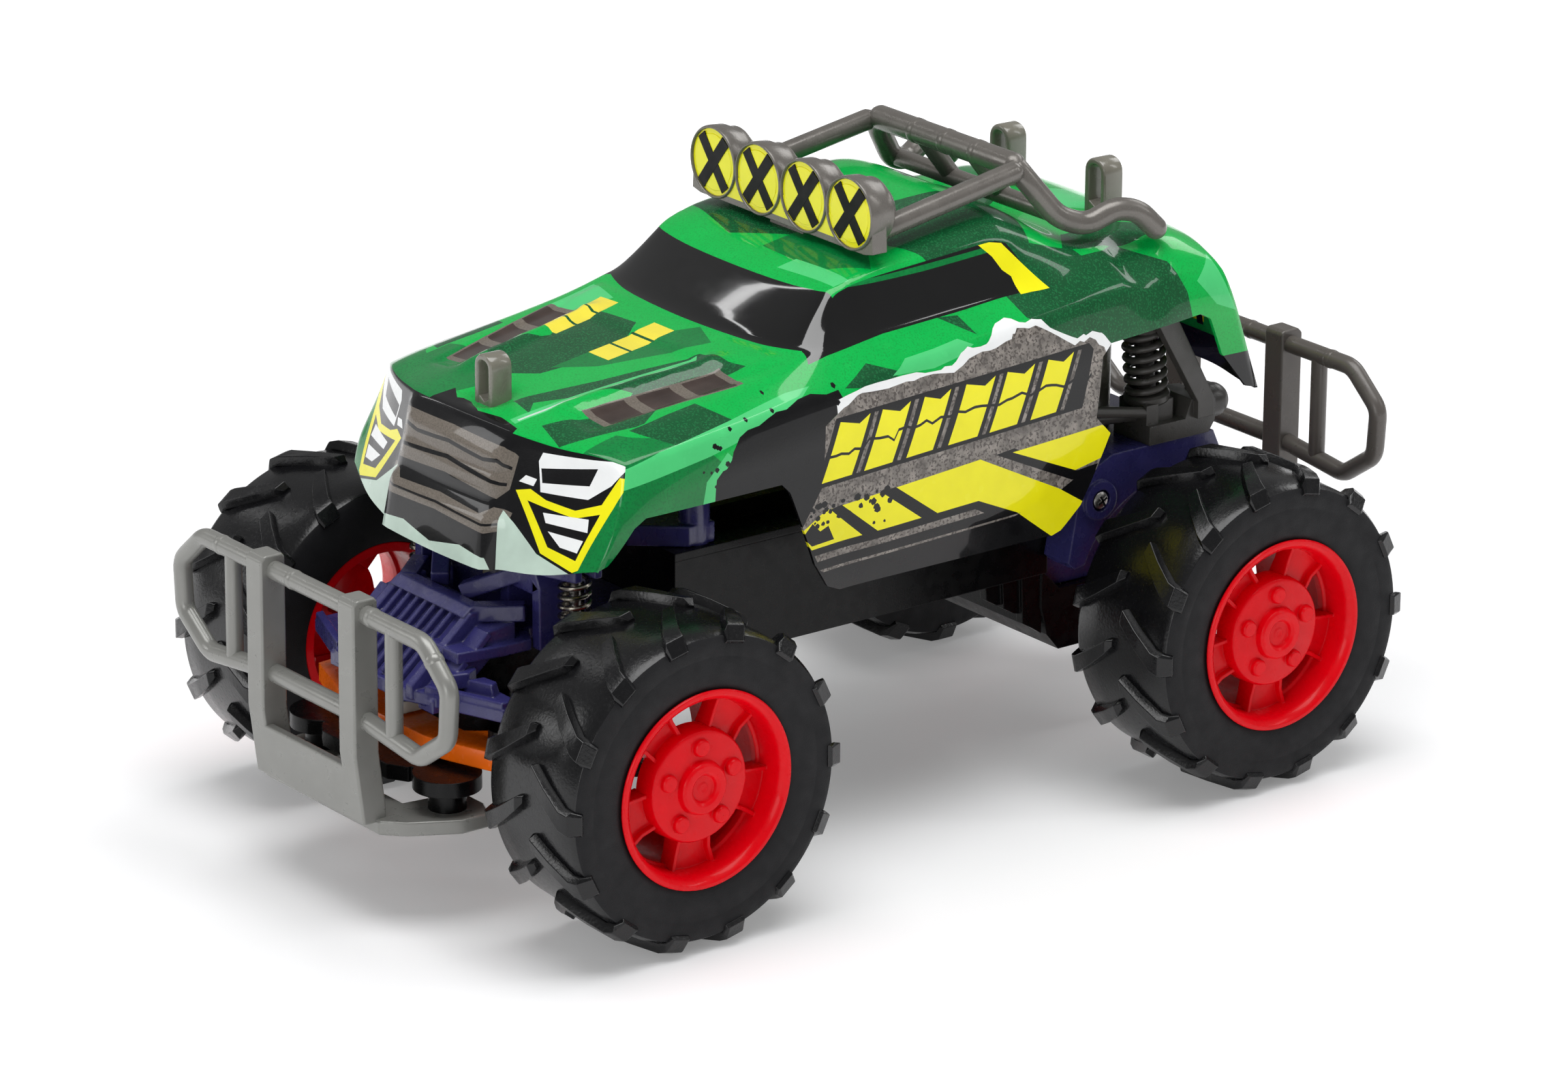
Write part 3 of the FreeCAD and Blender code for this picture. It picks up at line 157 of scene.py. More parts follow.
GLOSS = dict(rough=0.24, spread=0.05, coat=0.55, grain=0.05, grain_scale=1400.0, level=0.1)
PRINTS = {
    "bright": surface("print_bright_green", (0, 178, 74), tone=0.93, specks=((4, 160, 66), 2200.0, 0.56),
        **GLOSS),
    "mid": surface("print_mid_green", (8, 128, 60), tone=0.85, specks=((8, 112, 54), 1700.0, 0.54),
        **GLOSS),
    "dark": surface("print_dark_green", (16, 84, 46), tone=0.82, specks=((24, 104, 58), 1900.0, 0.56),
        **GLOSS),
    "mint": surface("print_mint", (78, 204, 122), tone=0.92, **GLOSS),
    "black": surface("print_black", (15, 15, 17), tone=0.7, **GLOSS),
    "white": surface("print_white", (242, 244, 244), tone=0.95, **GLOSS),
    # Pale green-white used only as a painted highlight where the glossy sheet catches light.
    "painted_highlight": surface("print_painted_highlight", (204, 226, 212), tone=0.8, tone_scale=90.0, **GLOSS),
    "yellow": surface("print_yellow", (246, 238, 22), tone=0.94, **GLOSS),
    "gold": surface("print_warm_yellow", (240, 224, 72), tone=0.94, **GLOSS),
    "stone": surface("print_stone", (150, 143, 136), tone=0.36, tone_scale=330.0,
        specks=((84, 78, 74), 1300.0, 0.54), **GLOSS),
    "taupe": surface("print_taupe", (120, 112, 103), tone=0.62, tone_scale=2400.0, **GLOSS),
    "vent": surface("print_vent", (74, 62, 58), tone=0.55, tone_scale=90.0, **GLOSS),
    "glass": surface("print_window", (7, 7, 8), rough=0.07, spread=0.02, coat=0.9, tone=0.6, grain=0.01,
        level=0.3),
}
PRINT_ORDER = list(PRINTS)
EDGE = 0.0004
SLOTS = {
    "tyre_rubber": surface("rubber_sidewall", (27, 27, 29), 0.6, tone=0.85, grain=0.18, grain_scale=2600.0,
        dust=0.02, level=0.22),
    "hub_red": surface("red_plastic", (226, 0, 18), 0.3, tone=0.92, coat=0.1, level=0.14, edge=EDGE),
    "steel": surface("steel", (176, 174, 170), 0.28, metallic=1.0, tone=0.75, edge=EDGE),
    "spring_steel": surface("spring_steel", (168, 162, 150), 0.25, metallic=1.0, tone=0.7),
    "frame_black": surface("black_plastic", (8, 8, 9), 0.28, tone=0.7, grain=0.06, edge=EDGE, level=0.2),
    "frame_navy": surface("navy_plastic", (53, 51, 110), 0.28, tone=0.74, grain=0.08, edge=0.0007, dust=0.04,
        coat=0.3),
    "trim_dark_grey": surface("dark_grey_plastic", (72, 70, 67), 0.34, tone=0.78, grain=0.1, edge=EDGE),
    "post_grey": surface("grey_post", (122, 119, 108), 0.24, tone=0.8, coat=0.3, grain=0.06),
    "tie_rod_orange": surface("orange_plastic", (255, 112, 6), 0.26, tone=0.92, coat=0.3, edge=0.0005),
    "gear_nylon": surface("nylon", (226, 222, 208), 0.45, edge=EDGE),
    "brass_pinion": surface("brass", (196, 158, 84), 0.3, metallic=1.0, edge=EDGE),
    "motor_can": surface("motor_can", (168, 168, 172), 0.32, metallic=1.0, edge=EDGE),
    "bumper_light_grey": surface("silver_grey_plastic", (134, 134, 130), 0.3, tone=0.93, grain=0.01,
        grain_scale=2600.0, metallic=0.25, spread=0.04, level=0.6),
    "bumper_dark_grey": surface("warm_grey_plastic", (92, 87, 83), 0.32, tone=0.9, grain=0.025,
        grain_scale=2600.0, metallic=0.1),
    "switch_knob": surface("switch_knob_plastic", (150, 150, 150), 0.4, edge=EDGE),
    "battery_wrap": surface("battery_wrap", (28, 110, 70), 0.3, metallic=0.4),
    "board_green": surface("board_green", (24, 98, 48), 0.4),
    "shell_paint": PRINTS["bright"],
    "rack_grey": surface("rack_grey_plastic", (112, 108, 103), 0.27, tone=0.88, grain=0.06,
        grain_scale=1600.0, metallic=0.3),
    "lens_yellow": PRINTS["yellow"],
}
TREAD = surface("rubber_tread", (13, 13, 15), 0.24, tone=0.9, tone_scale=500.0, spread=0.05, grain=0.1,
                grain_scale=1300.0, level=0.4)
CROSS = surface("lens_cross", (20, 20, 21), 0.5, tone=0.7, grain=0.05, level=0.15)

slot_of = {part["node"]: part["material_slot"] for part in frame["record"]["subparts"]}
for node_name, node_object in frame["nodes"].items():
    for holder in node_object.material_slots:
        holder.material = SLOTS[slot_of[node_name]]


# ---------------------------------------------------------------- mesh building
def add_object(name, data):
    """New object in the scene."""
    made = bpy.data.objects.new(name, data)
    bpy.context.scene.collection.objects.link(made)
    return made


def circle(radius, sides):
    """Closed round section."""
    turns = [math.tau * k / sides for k in range(sides)]
    return [(radius * math.cos(a), radius * math.sin(a)) for a in turns]


def both_sides(half):
    """Closed outline from the half on the left of the centre line."""
    return half + [(-x, y) for x, y in reversed(half)]


def rounded(points, radius, steps=5, closed=False):
    """Polyline whose corners are replaced by smooth bends of about the given reach."""
    points = [Vector(p) for p in points]
    count = len(points)
    out = []
    for i, here in enumerate(points):
        if not closed and i in (0, count - 1):
            out.append(here)
            continue
        before, after = points[i - 1] - here, points[(i + 1) % count] - here
        reach = min(radius, 0.45 * before.length, 0.45 * after.length)
        start, end = here + before.normalized() * reach, here + after.normalized() * reach
        for k in range(steps + 1):
            t = k / steps
            out.append(start * (1 - t) ** 2 + here * 2 * t * (1 - t) + end * t * t)
    return out


class Piece:
    """Collects geometry in millimetres, then becomes one object riding on a body."""

    def __init__(self, name):
        self.name, self.verts, self.faces, self.finish = name, [], [], []

    def add(self, verts, faces, finish=0):
        """Adds points and faces that name them by their order."""
        base = len(self.verts)
        self.verts += [Vector(v) for v in verts]
        self.faces += [[base + i for i in f] for f in faces]
        self.finish += [finish] * len(faces)

    def rings(self, rings, finish=0, close_ends=True, loop=False):
        """Skin over a row of equal rings of points."""
        size, count = len(rings[0]), len(rings)
        faces = []
        for i in range(count if loop else count - 1):
            for j in range(size):
                a, b = i * size + j, i * size + (j + 1) % size
                c, d = (i + 1) % count * size + (j + 1) % size, (i + 1) % count * size + j
                faces.append([a, b, c, d])
        if close_ends and not loop:
            faces += [list(range(size))[::-1], [(count - 1) * size + j for j in range(size)]]
        self.add([p for ring in rings for p in ring], faces, finish)

    def sweep(self, path, section, finish=0, scale=None, up=None):
        """Section (list of side, up offsets) carried along a path without twisting."""
        path = [Vector(p) for p in path]
        rings = []
        normal = Vector(up) if up else None
        for i, here in enumerate(path):
            ahead = (path[min(i + 1, len(path) - 1)] - path[max(i - 1, 0)]).normalized()
            if normal is None:
                normal = ahead.orthogonal()
            normal = (normal - ahead * normal.dot(ahead)).normalized()
            side = ahead.cross(normal)
            k = scale[i] if scale else 1.0
            rings.append([here + side * u * k + normal * v * k for u, v in section])
        self.rings(rings, finish)

    def tube(self, path, diameter, bend=4.0, finish=0, sides=18):
        """Round bar with domed ends."""
        radius = diameter / 2
        path = rounded(path, bend)
        start, end = path[0], path[-1]
        back, ahead = (start - path[1]).normalized(), (end - path[-2]).normalized()
        dome = [(math.cos(math.radians(a)), math.sin(math.radians(a))) for a in (12, 35, 60)]
        first = [start + back * radius * s for c, s in reversed(dome)]
        last = [end + ahead * radius * s for c, s in dome]
        scale = [c for c, s in reversed(dome)] + [1.0] * len(path) + [c for c, s in dome]
        self.sweep(first + path + last, circle(radius, sides), finish, scale)

    def lathe(self, profile, centre, axis, steps=64, finish=0):
        """Closed (radius, along) profile turned about an axis."""
        axis = Vector(axis).normalized()
        side = axis.orthogonal().normalized()
        other = axis.cross(side)
        rings = []
        for k in range(steps):
            a = math.tau * k / steps
            out = side * math.cos(a) + other * math.sin(a)
            rings.append([Vector(centre) + out * r + axis * h for r, h in profile])
        self.rings(rings, finish, loop=True)

    def prism(self, outline, axis, low, high, finish=0, taper=0.0):
        """Outline in the plane across an axis (0, 1 or 2), extruded between two heights."""
        def point(uv, h):
            p = list(uv)
            p.insert(axis, h)
            return Vector(p)
        cu = sum(p[0] for p in outline) / len(outline)
        cv = sum(p[1] for p in outline) / len(outline)
        shrunk = [(cu + (u - cu) * (1 - taper), cv + (v - cv) * (1 - taper)) for u, v in outline]
        count = len(outline)
        verts = [point(p, low) for p in outline] + [point(p, high) for p in shrunk]
        faces = [[i, (i + 1) % count, count + (i + 1) % count, count + i] for i in range(count)]
        faces += [list(range(count))[::-1], list(range(count, 2 * count))]
        self.add(verts, faces, finish)

    def mirrored(self):
        """Adds the same geometry on the other side of the truck."""
        count = len(self.verts)
        self.verts += [Vector((-v.x, v.y, v.z)) for v in self.verts[:count]]
        self.faces += [[count + i for i in reversed(f)] for f in self.faces[:]]
        self.finish += self.finish[:]
        return self

    def turned(self, matrix):
        """Moves everything collected so far."""
        self.verts = [matrix @ v for v in self.verts]
        return self

    def done(self, body, slot, replaced, second=None, bevel=0.0, sharp=34.0, segments=3):
        """Makes the object in place of a CAD node; second is the material of faces with finish 1."""
        mesh = bpy.data.meshes.new(self.name)
        mesh.from_pydata([v * MM for v in self.verts], [], self.faces)
        mesh.materials.append(SLOTS[slot])
        if second:
            mesh.materials.append(second)
        mesh.polygons.foreach_set("material_index", self.finish)
        work = bmesh.new()
        work.from_mesh(mesh)
        bmesh.ops.recalc_face_normals(work, faces=work.faces)
        work.to_mesh(mesh)
        work.free()
        mesh.shade_smooth()
        mesh.set_sharp_from_angle(angle=math.radians(sharp))
        piece = add_object(self.name, mesh)
        if bevel:
            modifier = piece.modifiers.new("edges", "BEVEL")
            modifier.width = bevel * MM
            modifier.segments = segments
            modifier.limit_method = "ANGLE"
            modifier.angle_limit = math.radians(BEVEL_ANGLE)
            modifier.harden_normals = True
        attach(piece, body)
        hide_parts(replaced)
        return piece


# ---------------------------------------------------------------- body shell
# Control rows from nose to tail.  Each lists nine points from the centre line out to the lower edge.
ROWS = [
    [(0, -104.5, 118.3), (21, -102.5, 117.6), (34, -98.5, 116.4), (41, -95.5, 116.4), (45, -93.5, 116.2),
     (50.4, -90, 114.7), (52.6, -92.5, 105), (54, -97.5, 96), (52.5, -99.8, 90.2)],
    [(0, -95, 119.6), (20.5, -94, 120.2), (33, -92, 118.4), (41, -89.5, 118.4), (45, -88, 118),
     (51, -85, 115.6), (54, -87, 105), (55, -91, 92), (54, -93, 76)],
    [(0, -78, 121.8), (20, -78, 122.9), (32, -77, 120.8), (41.5, -76, 120.6), (45, -75.5, 119.8),
     (51.6, -74, 117), (54.4, -74, 105), (54.8, -74, 90), (54, -74, 66)],
    [(0, -58, 124.5), (20, -58, 125.5), (32, -57.5, 123.6), (41.5, -57, 123.3), (45, -56.5, 122.5),
     (51.8, -55, 119), (54.6, -55, 105), (54.8, -55, 90), (54, -55, 66)],
    [(0, -44, 126.6), (21, -43.5, 127), (33, -42, 126), (41.5, -40, 125.8), (45, -38.5, 125.3),
     (51.8, -36, 121), (54.6, -36, 106), (54.8, -36, 90), (54, -36, 66)],
    [(0, -36, 128.3), (22, -34.5, 128.6), (34, -31.5, 129.1), (40.5, -28.5, 129.4), (43.4, -27, 129.5),
     (51.6, -25, 122.2), (54.6, -25, 107), (54.8, -25, 81.5), (50.8, -25, 66)],
    [(0, -20, 140.9), (20, -19.5, 141), (31, -18, 141.4), (36.6, -16.6, 141.7), (43, -12, 130.8),
     (51.4, -8, 124), (54.6, -8, 107), (54.8, -8, 81.5), (50.8, -8, 66)],
    [(0, -13, 144.2), (20, -13, 144.3), (31, -12, 144.6), (37.4, -10.5, 143.8), (43, -7, 131.2),
     (51.3, -3, 124.6), (54.6, -3, 107), (54.8, -3, 81.5), (50.8, -3, 66)],
    [(0, -3, 147.3), (20, -3, 147.3), (32, -3, 146.9), (38.3, -3, 144.8), (43, 1, 131.7), (51.2, 5, 125.4),
     (54.6, 5, 108), (54.8, 5, 81.5), (50.8, 5, 66)],
    [(0, 20, 151.2), (20, 20, 151), (32, 20, 150.2), (38.8, 20, 146.6), (43, 22, 132.8), (51, 24, 127.2),
     (54.6, 24, 108), (54.8, 24, 81.5), (50.8, 24, 66)],
    [(0, 38, 153.6), (20, 38, 153.5), (31, 38, 152.4), (38.6, 36, 147.4), (42.8, 41, 134),
     (50.8, 42, 128.9), (54.4, 42, 109), (54.8, 42, 81.5), (50.8, 42, 66)],
    [(0, 50, 148), (20, 50, 148), (32, 49.5, 147), (38.8, 48.5, 143.6), (44, 51, 135.2), (50.6, 54, 130),
     (54, 54, 110), (54.4, 54, 92), (54, 54, 70)],
    [(0, 60, 140.2), (20, 60, 140.4), (32, 60, 140.2), (39, 60, 139.2), (45.4, 62, 135.6),
     (50.2, 64, 130.8), (53.4, 64, 114), (54, 64, 100), (54, 62, 84)],
    [(0, 74, 140.2), (20, 74, 140.8), (32, 74, 140.6), (39, 74, 139.8), (44.5, 75, 137.4),
     (49.6, 76, 131.4), (52.4, 76, 120), (53, 76, 112), (53, 76, 96)],
    [(0, 90, 140.8), (20, 90, 141.2), (32, 90, 140.8), (38.5, 90, 139.8), (43.5, 90, 137.6),
     (48.6, 91, 131.6), (51.2, 91, 122), (51.5, 92, 112), (51.5, 93, 96)],
    [(0, 101, 136.4), (20, 101, 136.6), (32, 101, 136), (38, 101, 135), (42.5, 101, 133.2),
     (47.4, 102, 130), (49.6, 105, 121), (50.4, 108, 110), (50, 113.5, 95.5)],
]
NOSE = [
    [(0, -106, 107), (21, -104.8, 107), (34, -100.4, 106.5), (41, -97.6, 106), (46, -95.2, 105.5)],
    [(0, -108.5, 96), (21, -107.6, 96), (34, -103.9, 96), (41, -101.6, 96), (47, -99.6, 95.6)],
    [(0, -110.6, 84), (21, -110, 84.5), (34, -107, 85.6), (41, -104.6, 87), (47, -102.2, 88.9)],
]
TAIL = [
    [(0, 106.5, 122), (20, 106.5, 122), (32, 106, 121.6), (38, 105.8, 121.4), (43.5, 105.4, 121.2)],
    [(0, 110, 110), (20, 110, 110), (32, 109.6, 110), (38, 109.2, 110), (43.5, 108.8, 110)],
    [(0, 114, 98), (20, 114, 98), (32, 114, 98), (38, 113.8, 97), (43.5, 113.6, 96)],
]
# Lower edge of the flank with both wheel arches, as (y, z).
LOWER_EDGE = [
    (-99.8, 90.2), (-97.6, 91.4), (-90, 99.6), (-86.5, 101.6), (-45.5, 102), (-43, 99.5), (-34.8, 79),
    (-30, 72), (-25.5, 70), (43, 70), (45.5, 71), (51, 77), (60, 94.6), (55.2, 99.6), (57.8, 115),
    (61, 118), (92, 119.6), (95.5, 117.6), (99.5, 107.5), (108.5, 97), (112, 96), (118, 96),
]
ZONES = ("top", "windscreen", "side", "front", "rear")
# Edges along the truck, as first row, last row, column, strength.
CREASES = (
    (0, 11, 5, 0.75), (5, 10, 7, 0.7), (11, 14, 5, 0.5), (5, 10, 4, 0.5), (6, 10, 3, 0.35), (0, 4, 1, 0.25),
    (0, 15, 8, 1.0),
)
# Edges across it, as row, first column, last column, strength.
CROSS_CREASES = ((0, 0, 5, 0.85), (5, 0, 4, 0.6), (6, 0, 3, 0.5), (8, 0, 3, 0.2), (10, 0, 4, 0.3),
                 (15, 0, 5, 0.45))


def end_rows(edge, panel):
    """Rows of a nose or tail panel below an end row of the cage, joined to the flank's own column."""
    return [edge[:6]] + [row + [edge[6 + k]] for k, row in enumerate(panel)]


NOSE_ROWS, TAIL_ROWS = end_rows(ROWS[0], NOSE), end_rows(ROWS[-1], TAIL)


def cage_faces():
    """Quads of one half of the shell as (four points, zone number)."""
    def grid(rows, zone):
        for i, (near, far) in enumerate(zip(rows, rows[1:])):
            for j in range(len(near) - 1):
                yield (near[j], near[j + 1], far[j + 1], far[j]), zone(i, j)
    yield from grid(ROWS, lambda i, j: 2 if j > 2 else (1 if i == 5 else 0))
    yield from grid(NOSE_ROWS, lambda i, j: 3)
    yield from grid(TAIL_ROWS, lambda i, j: 4)


def shell_base():
    """Smooth whole outer surface of the shell, in metres, each face holding its zone number."""
    work = bmesh.new()
    known = {}

    def vert(point):
        key = tuple(round(c, 2) for c in point)
        if key not in known:
            known[key] = work.verts.new(Vector(key) * MM)
        return known[key]

    for sign in (1, -1):
        for corners, zone in cage_faces():
            points = [(sign * x + 0.0, y, z) for x, y, z in corners]
            work.faces.new([vert(p) for p in points]).material_index = zone
    bmesh.ops.recalc_face_normals(work, faces=work.faces)
    if sum(f.normal.z for f in work.faces) < 0:
        bmesh.ops.reverse_faces(work, faces=work.faces)
    crease = work.edges.layers.float.new("crease_edge")

    def sharpen(first, second, strength):
        """Creases one cage edge on both sides of the truck."""
        for sign in (1, -1):
            ends = [vert((sign * x + 0.0, y, z)) for x, y, z in (first, second)]
            edge = work.edges.get(ends)
            if edge:
                edge[crease] = strength

    for start, end, column, strength in CREASES:
        for i in range(start, end):
            sharpen(ROWS[i][column], ROWS[i + 1][column], strength)
    for row, start, end, strength in CROSS_CREASES:
        for j in range(start, end):
            sharpen(ROWS[row][j], ROWS[row][j + 1], strength)
    for rows, column, strength in ((NOSE_ROWS, 1, 0.75), (NOSE_ROWS, 5, 0.8), (TAIL_ROWS, 5, 0.55)):
        for near, far in zip(rows, rows[1:]):
            sharpen(near[column], far[column], strength)
    mesh = bpy.data.meshes.new("shell_cage")
    work.to_mesh(mesh)
    work.free()
    cage = add_object("shell_cage", mesh)
    smooth = cage.modifiers.new("smooth", "SUBSURF")
    smooth.levels = smooth.render_levels = 3
    smooth.use_limit_surface = True
    bpy.context.view_layer.update()
    evaluated = cage.evaluated_get(bpy.context.evaluated_depsgraph_get())
    result = bpy.data.meshes.new_from_object(evaluated)
    bpy.data.objects.remove(cage)
    for v in result.vertices:
        v.co = shell_detail(v.co)
    return result


# Dishes pressed round the body posts and the rack's feet, as (x, y, reach, depth).
DISHES = (
    (0.0, FRONT_POST_Y, 7.0, 1.3), (REAR_POST_X, REAR_POST_Y, 8.5, 1.3),
    (-REAR_POST_X, REAR_POST_Y, 8.5, 1.3), (44, 76, 9.0, 1.6), (-44, 76, 9.0, 1.6),
)
GRILLE_BARS = (111.0, 105.0)


def ease(value, low, high):
    """Smooth step from 0 at low to 1 at high; high may be the smaller."""
    t = min(1.0, max(0.0, (value - low) / (high - low)))
    return t * t * (3 - 2 * t)


def bonnet_rise(wide, y):
    """Height of the bonnet's two ridges, less its vent dishes, plus the cowl below the windscreen."""
    along = min(1.0, max(0.0, (y + 90) / 46))
    from_ridge = abs(wide - (20.5 + 6.0 * along))
    from_vent = abs(wide - (29.5 + 5.0 * along))
    ridge = 1.5 * (1 - ease(from_ridge, 0.6, 3.2)) * ease(y, -92, -84) * ease(y, -40, -48)
    vent = 0.9 * (1 - ease(from_vent, 3.0, 5.4)) * ease(y, -90, -86) * ease(y, -42, -46)
    cowl = 0.7 * ease(y, -49, -46.5) * ease(wide, 40, 36) * ease(y, -32, -36)
    return ridge - vent + cowl


def grille_depth(wide, z):
    """How far the grille, its bars and the chin stand out of the nose."""
    depth = 1.5 * (1 - ease(wide, 20.2, 23.0)) * ease(z, 117.5, 114.5)
    depth += 1.6 * (1 - ease(wide, 22.0, 25.0)) * ease(z, 99, 96.5)
    for bar in GRILLE_BARS:
        depth += 0.6 * (1 - ease(wide, 18.5, 20.5)) * (1 - ease(abs(z - bar), 1.4, 2.6))
    return depth


def window_share(y, z):
    """One inside the side window, fading to zero over its edge."""
    slant = (z - 130) * 0.78
    share = ease(z, 131.6, 133.2) * ease(z, 145.2 + 0.03 * y, 143.8 + 0.03 * y)
    return share * ease(y, -23 + slant, -21 + slant) * ease(y, 44.5 - slant * 0.5, 42.5 - slant * 0.5)


def shell_detail(place):
    """Pressed forms of the sheet, added to a point of its smooth surface."""
    x, y, z = place / MM
    rise = 0.0
    wide = abs(x)
    if -92 < y < -30 and z > 116:
        rise += bonnet_rise(wide, y)
    if y < -98 and wide < 30 and z < 117.5:
        y -= grille_depth(wide, z)
    if wide > 36 and 126 < z < 150 and -22 < y < 46:
        x -= math.copysign(0.35 * window_share(y, z), x)
    if z > 112:
        for centre_x, centre_y, reach, depth in DISHES:
            away = math.hypot(x - centre_x, y - centre_y) / reach
            if away < 1:
                rise -= depth * min(1.0, (1 - away) * 2.6)
    return Vector((x, y, z + rise)) * MM


TOUCH = 1e-7  # metres


def slice_faces(work, faces, point, normal):
    """Splits the given faces along a plane and returns all of them, old and new."""
    geometry = set(faces)
    for f in faces:
        geometry.update(f.edges)
        geometry.update(f.verts)
    cut = bmesh.ops.bisect_plane(work, geom=list(geometry), dist=TOUCH, plane_co=point, plane_no=normal)
    return [g for g in cut["geom"] if isinstance(g, bmesh.types.BMFace)]


def inside(point, outline):
    """Whether a point lies in an outline, by counting the edges that a ray crosses."""
    x, y = point
    hit = False
    for (x0, y0), (x1, y1) in zip(outline, outline[1:] + outline[:1]):
        if (y0 > y) != (y1 > y) and x < (x1 - x0) * (y - y0) / (y1 - y0) + x0:
            hit = not hit
    return hit


# The two coordinates in which each zone's prints are drawn.
PLANES = {"top": (0, 1), "side": (1, 2), "front": (0, 2), "rear": (0, 2)}
REACH = 0.004  # metres


def imprint(work, zone_layer, zone, outline, sign=0):
    """Cuts an outline (mm) into one zone, seen along that zone's axis, and returns the faces inside it.

    sign limits the cut to the left (1) or right (-1) side of the truck.
    """
    u, v = PLANES[zone]
    outline = [(a * MM, b * MM) for a, b in outline]
    number = ZONES.index(zone)
    low_u, high_u = min(p[0] for p in outline), max(p[0] for p in outline)
    low_v, high_v = min(p[1] for p in outline), max(p[1] for p in outline)
    near = []
    for f in work.faces:
        if f[zone_layer] != number:
            continue
        middle = f.calc_center_bounds()
        if sign and middle.x * sign < 0:
            continue
        if low_u - REACH < middle[u] < high_u + REACH and low_v - REACH < middle[v] < high_v + REACH:
            near.append(f)
    for start, end in zip(outline, outline[1:] + outline[:1]):
        du, dv = end[0] - start[0], end[1] - start[1]
        length = math.hypot(du, dv)
        if length < 10 * TOUCH:
            continue
        touched, rest = [], []
        for f in near:
            along = [((w.co[u] - start[0]) * du + (w.co[v] - start[1]) * dv) / length for w in f.verts]
            off = [((w.co[v] - start[1]) * du - (w.co[u] - start[0]) * dv) / length for w in f.verts]
            crosses = min(off) < -TOUCH and max(off) > TOUCH
            beside = max(along) > -10 * TOUCH and min(along) < length + 10 * TOUCH
            (touched if crosses and beside else rest).append(f)
        if touched:
            place, normal = [0.0] * 3, [0.0] * 3
            place[u], place[v] = start
            normal[u], normal[v] = dv / length, -du / length
            near = rest + slice_faces(work, touched, place, normal)
    printed = []
    for f in near:
        if f.is_valid:
            middle = f.calc_center_median()
            if inside((middle[u], middle[v]), outline):
                printed.append(f)
    return printed


def slanted(x0, x1, z0, z1, lean):
    """Parallelogram between two heights whose top is shifted by lean."""
    return [(x0, z0), (x1, z0), (x1 + lean, z1), (x0 + lean, z1)]


def jagged(points, size, steps=3):
    """Torn version of a polyline: extra points pushed up and down at random."""
    out = []
    for (x0, z0), (x1, z1) in zip(points, points[1:]):
        out.append((x0, z0))
        for k in range(1, steps):
            t = k / steps + random.uniform(-0.1, 0.1)
            out.append((x0 + (x1 - x0) * t, z0 + (z1 - z0) * t + random.uniform(-size, size)))
    return out + [points[-1]]


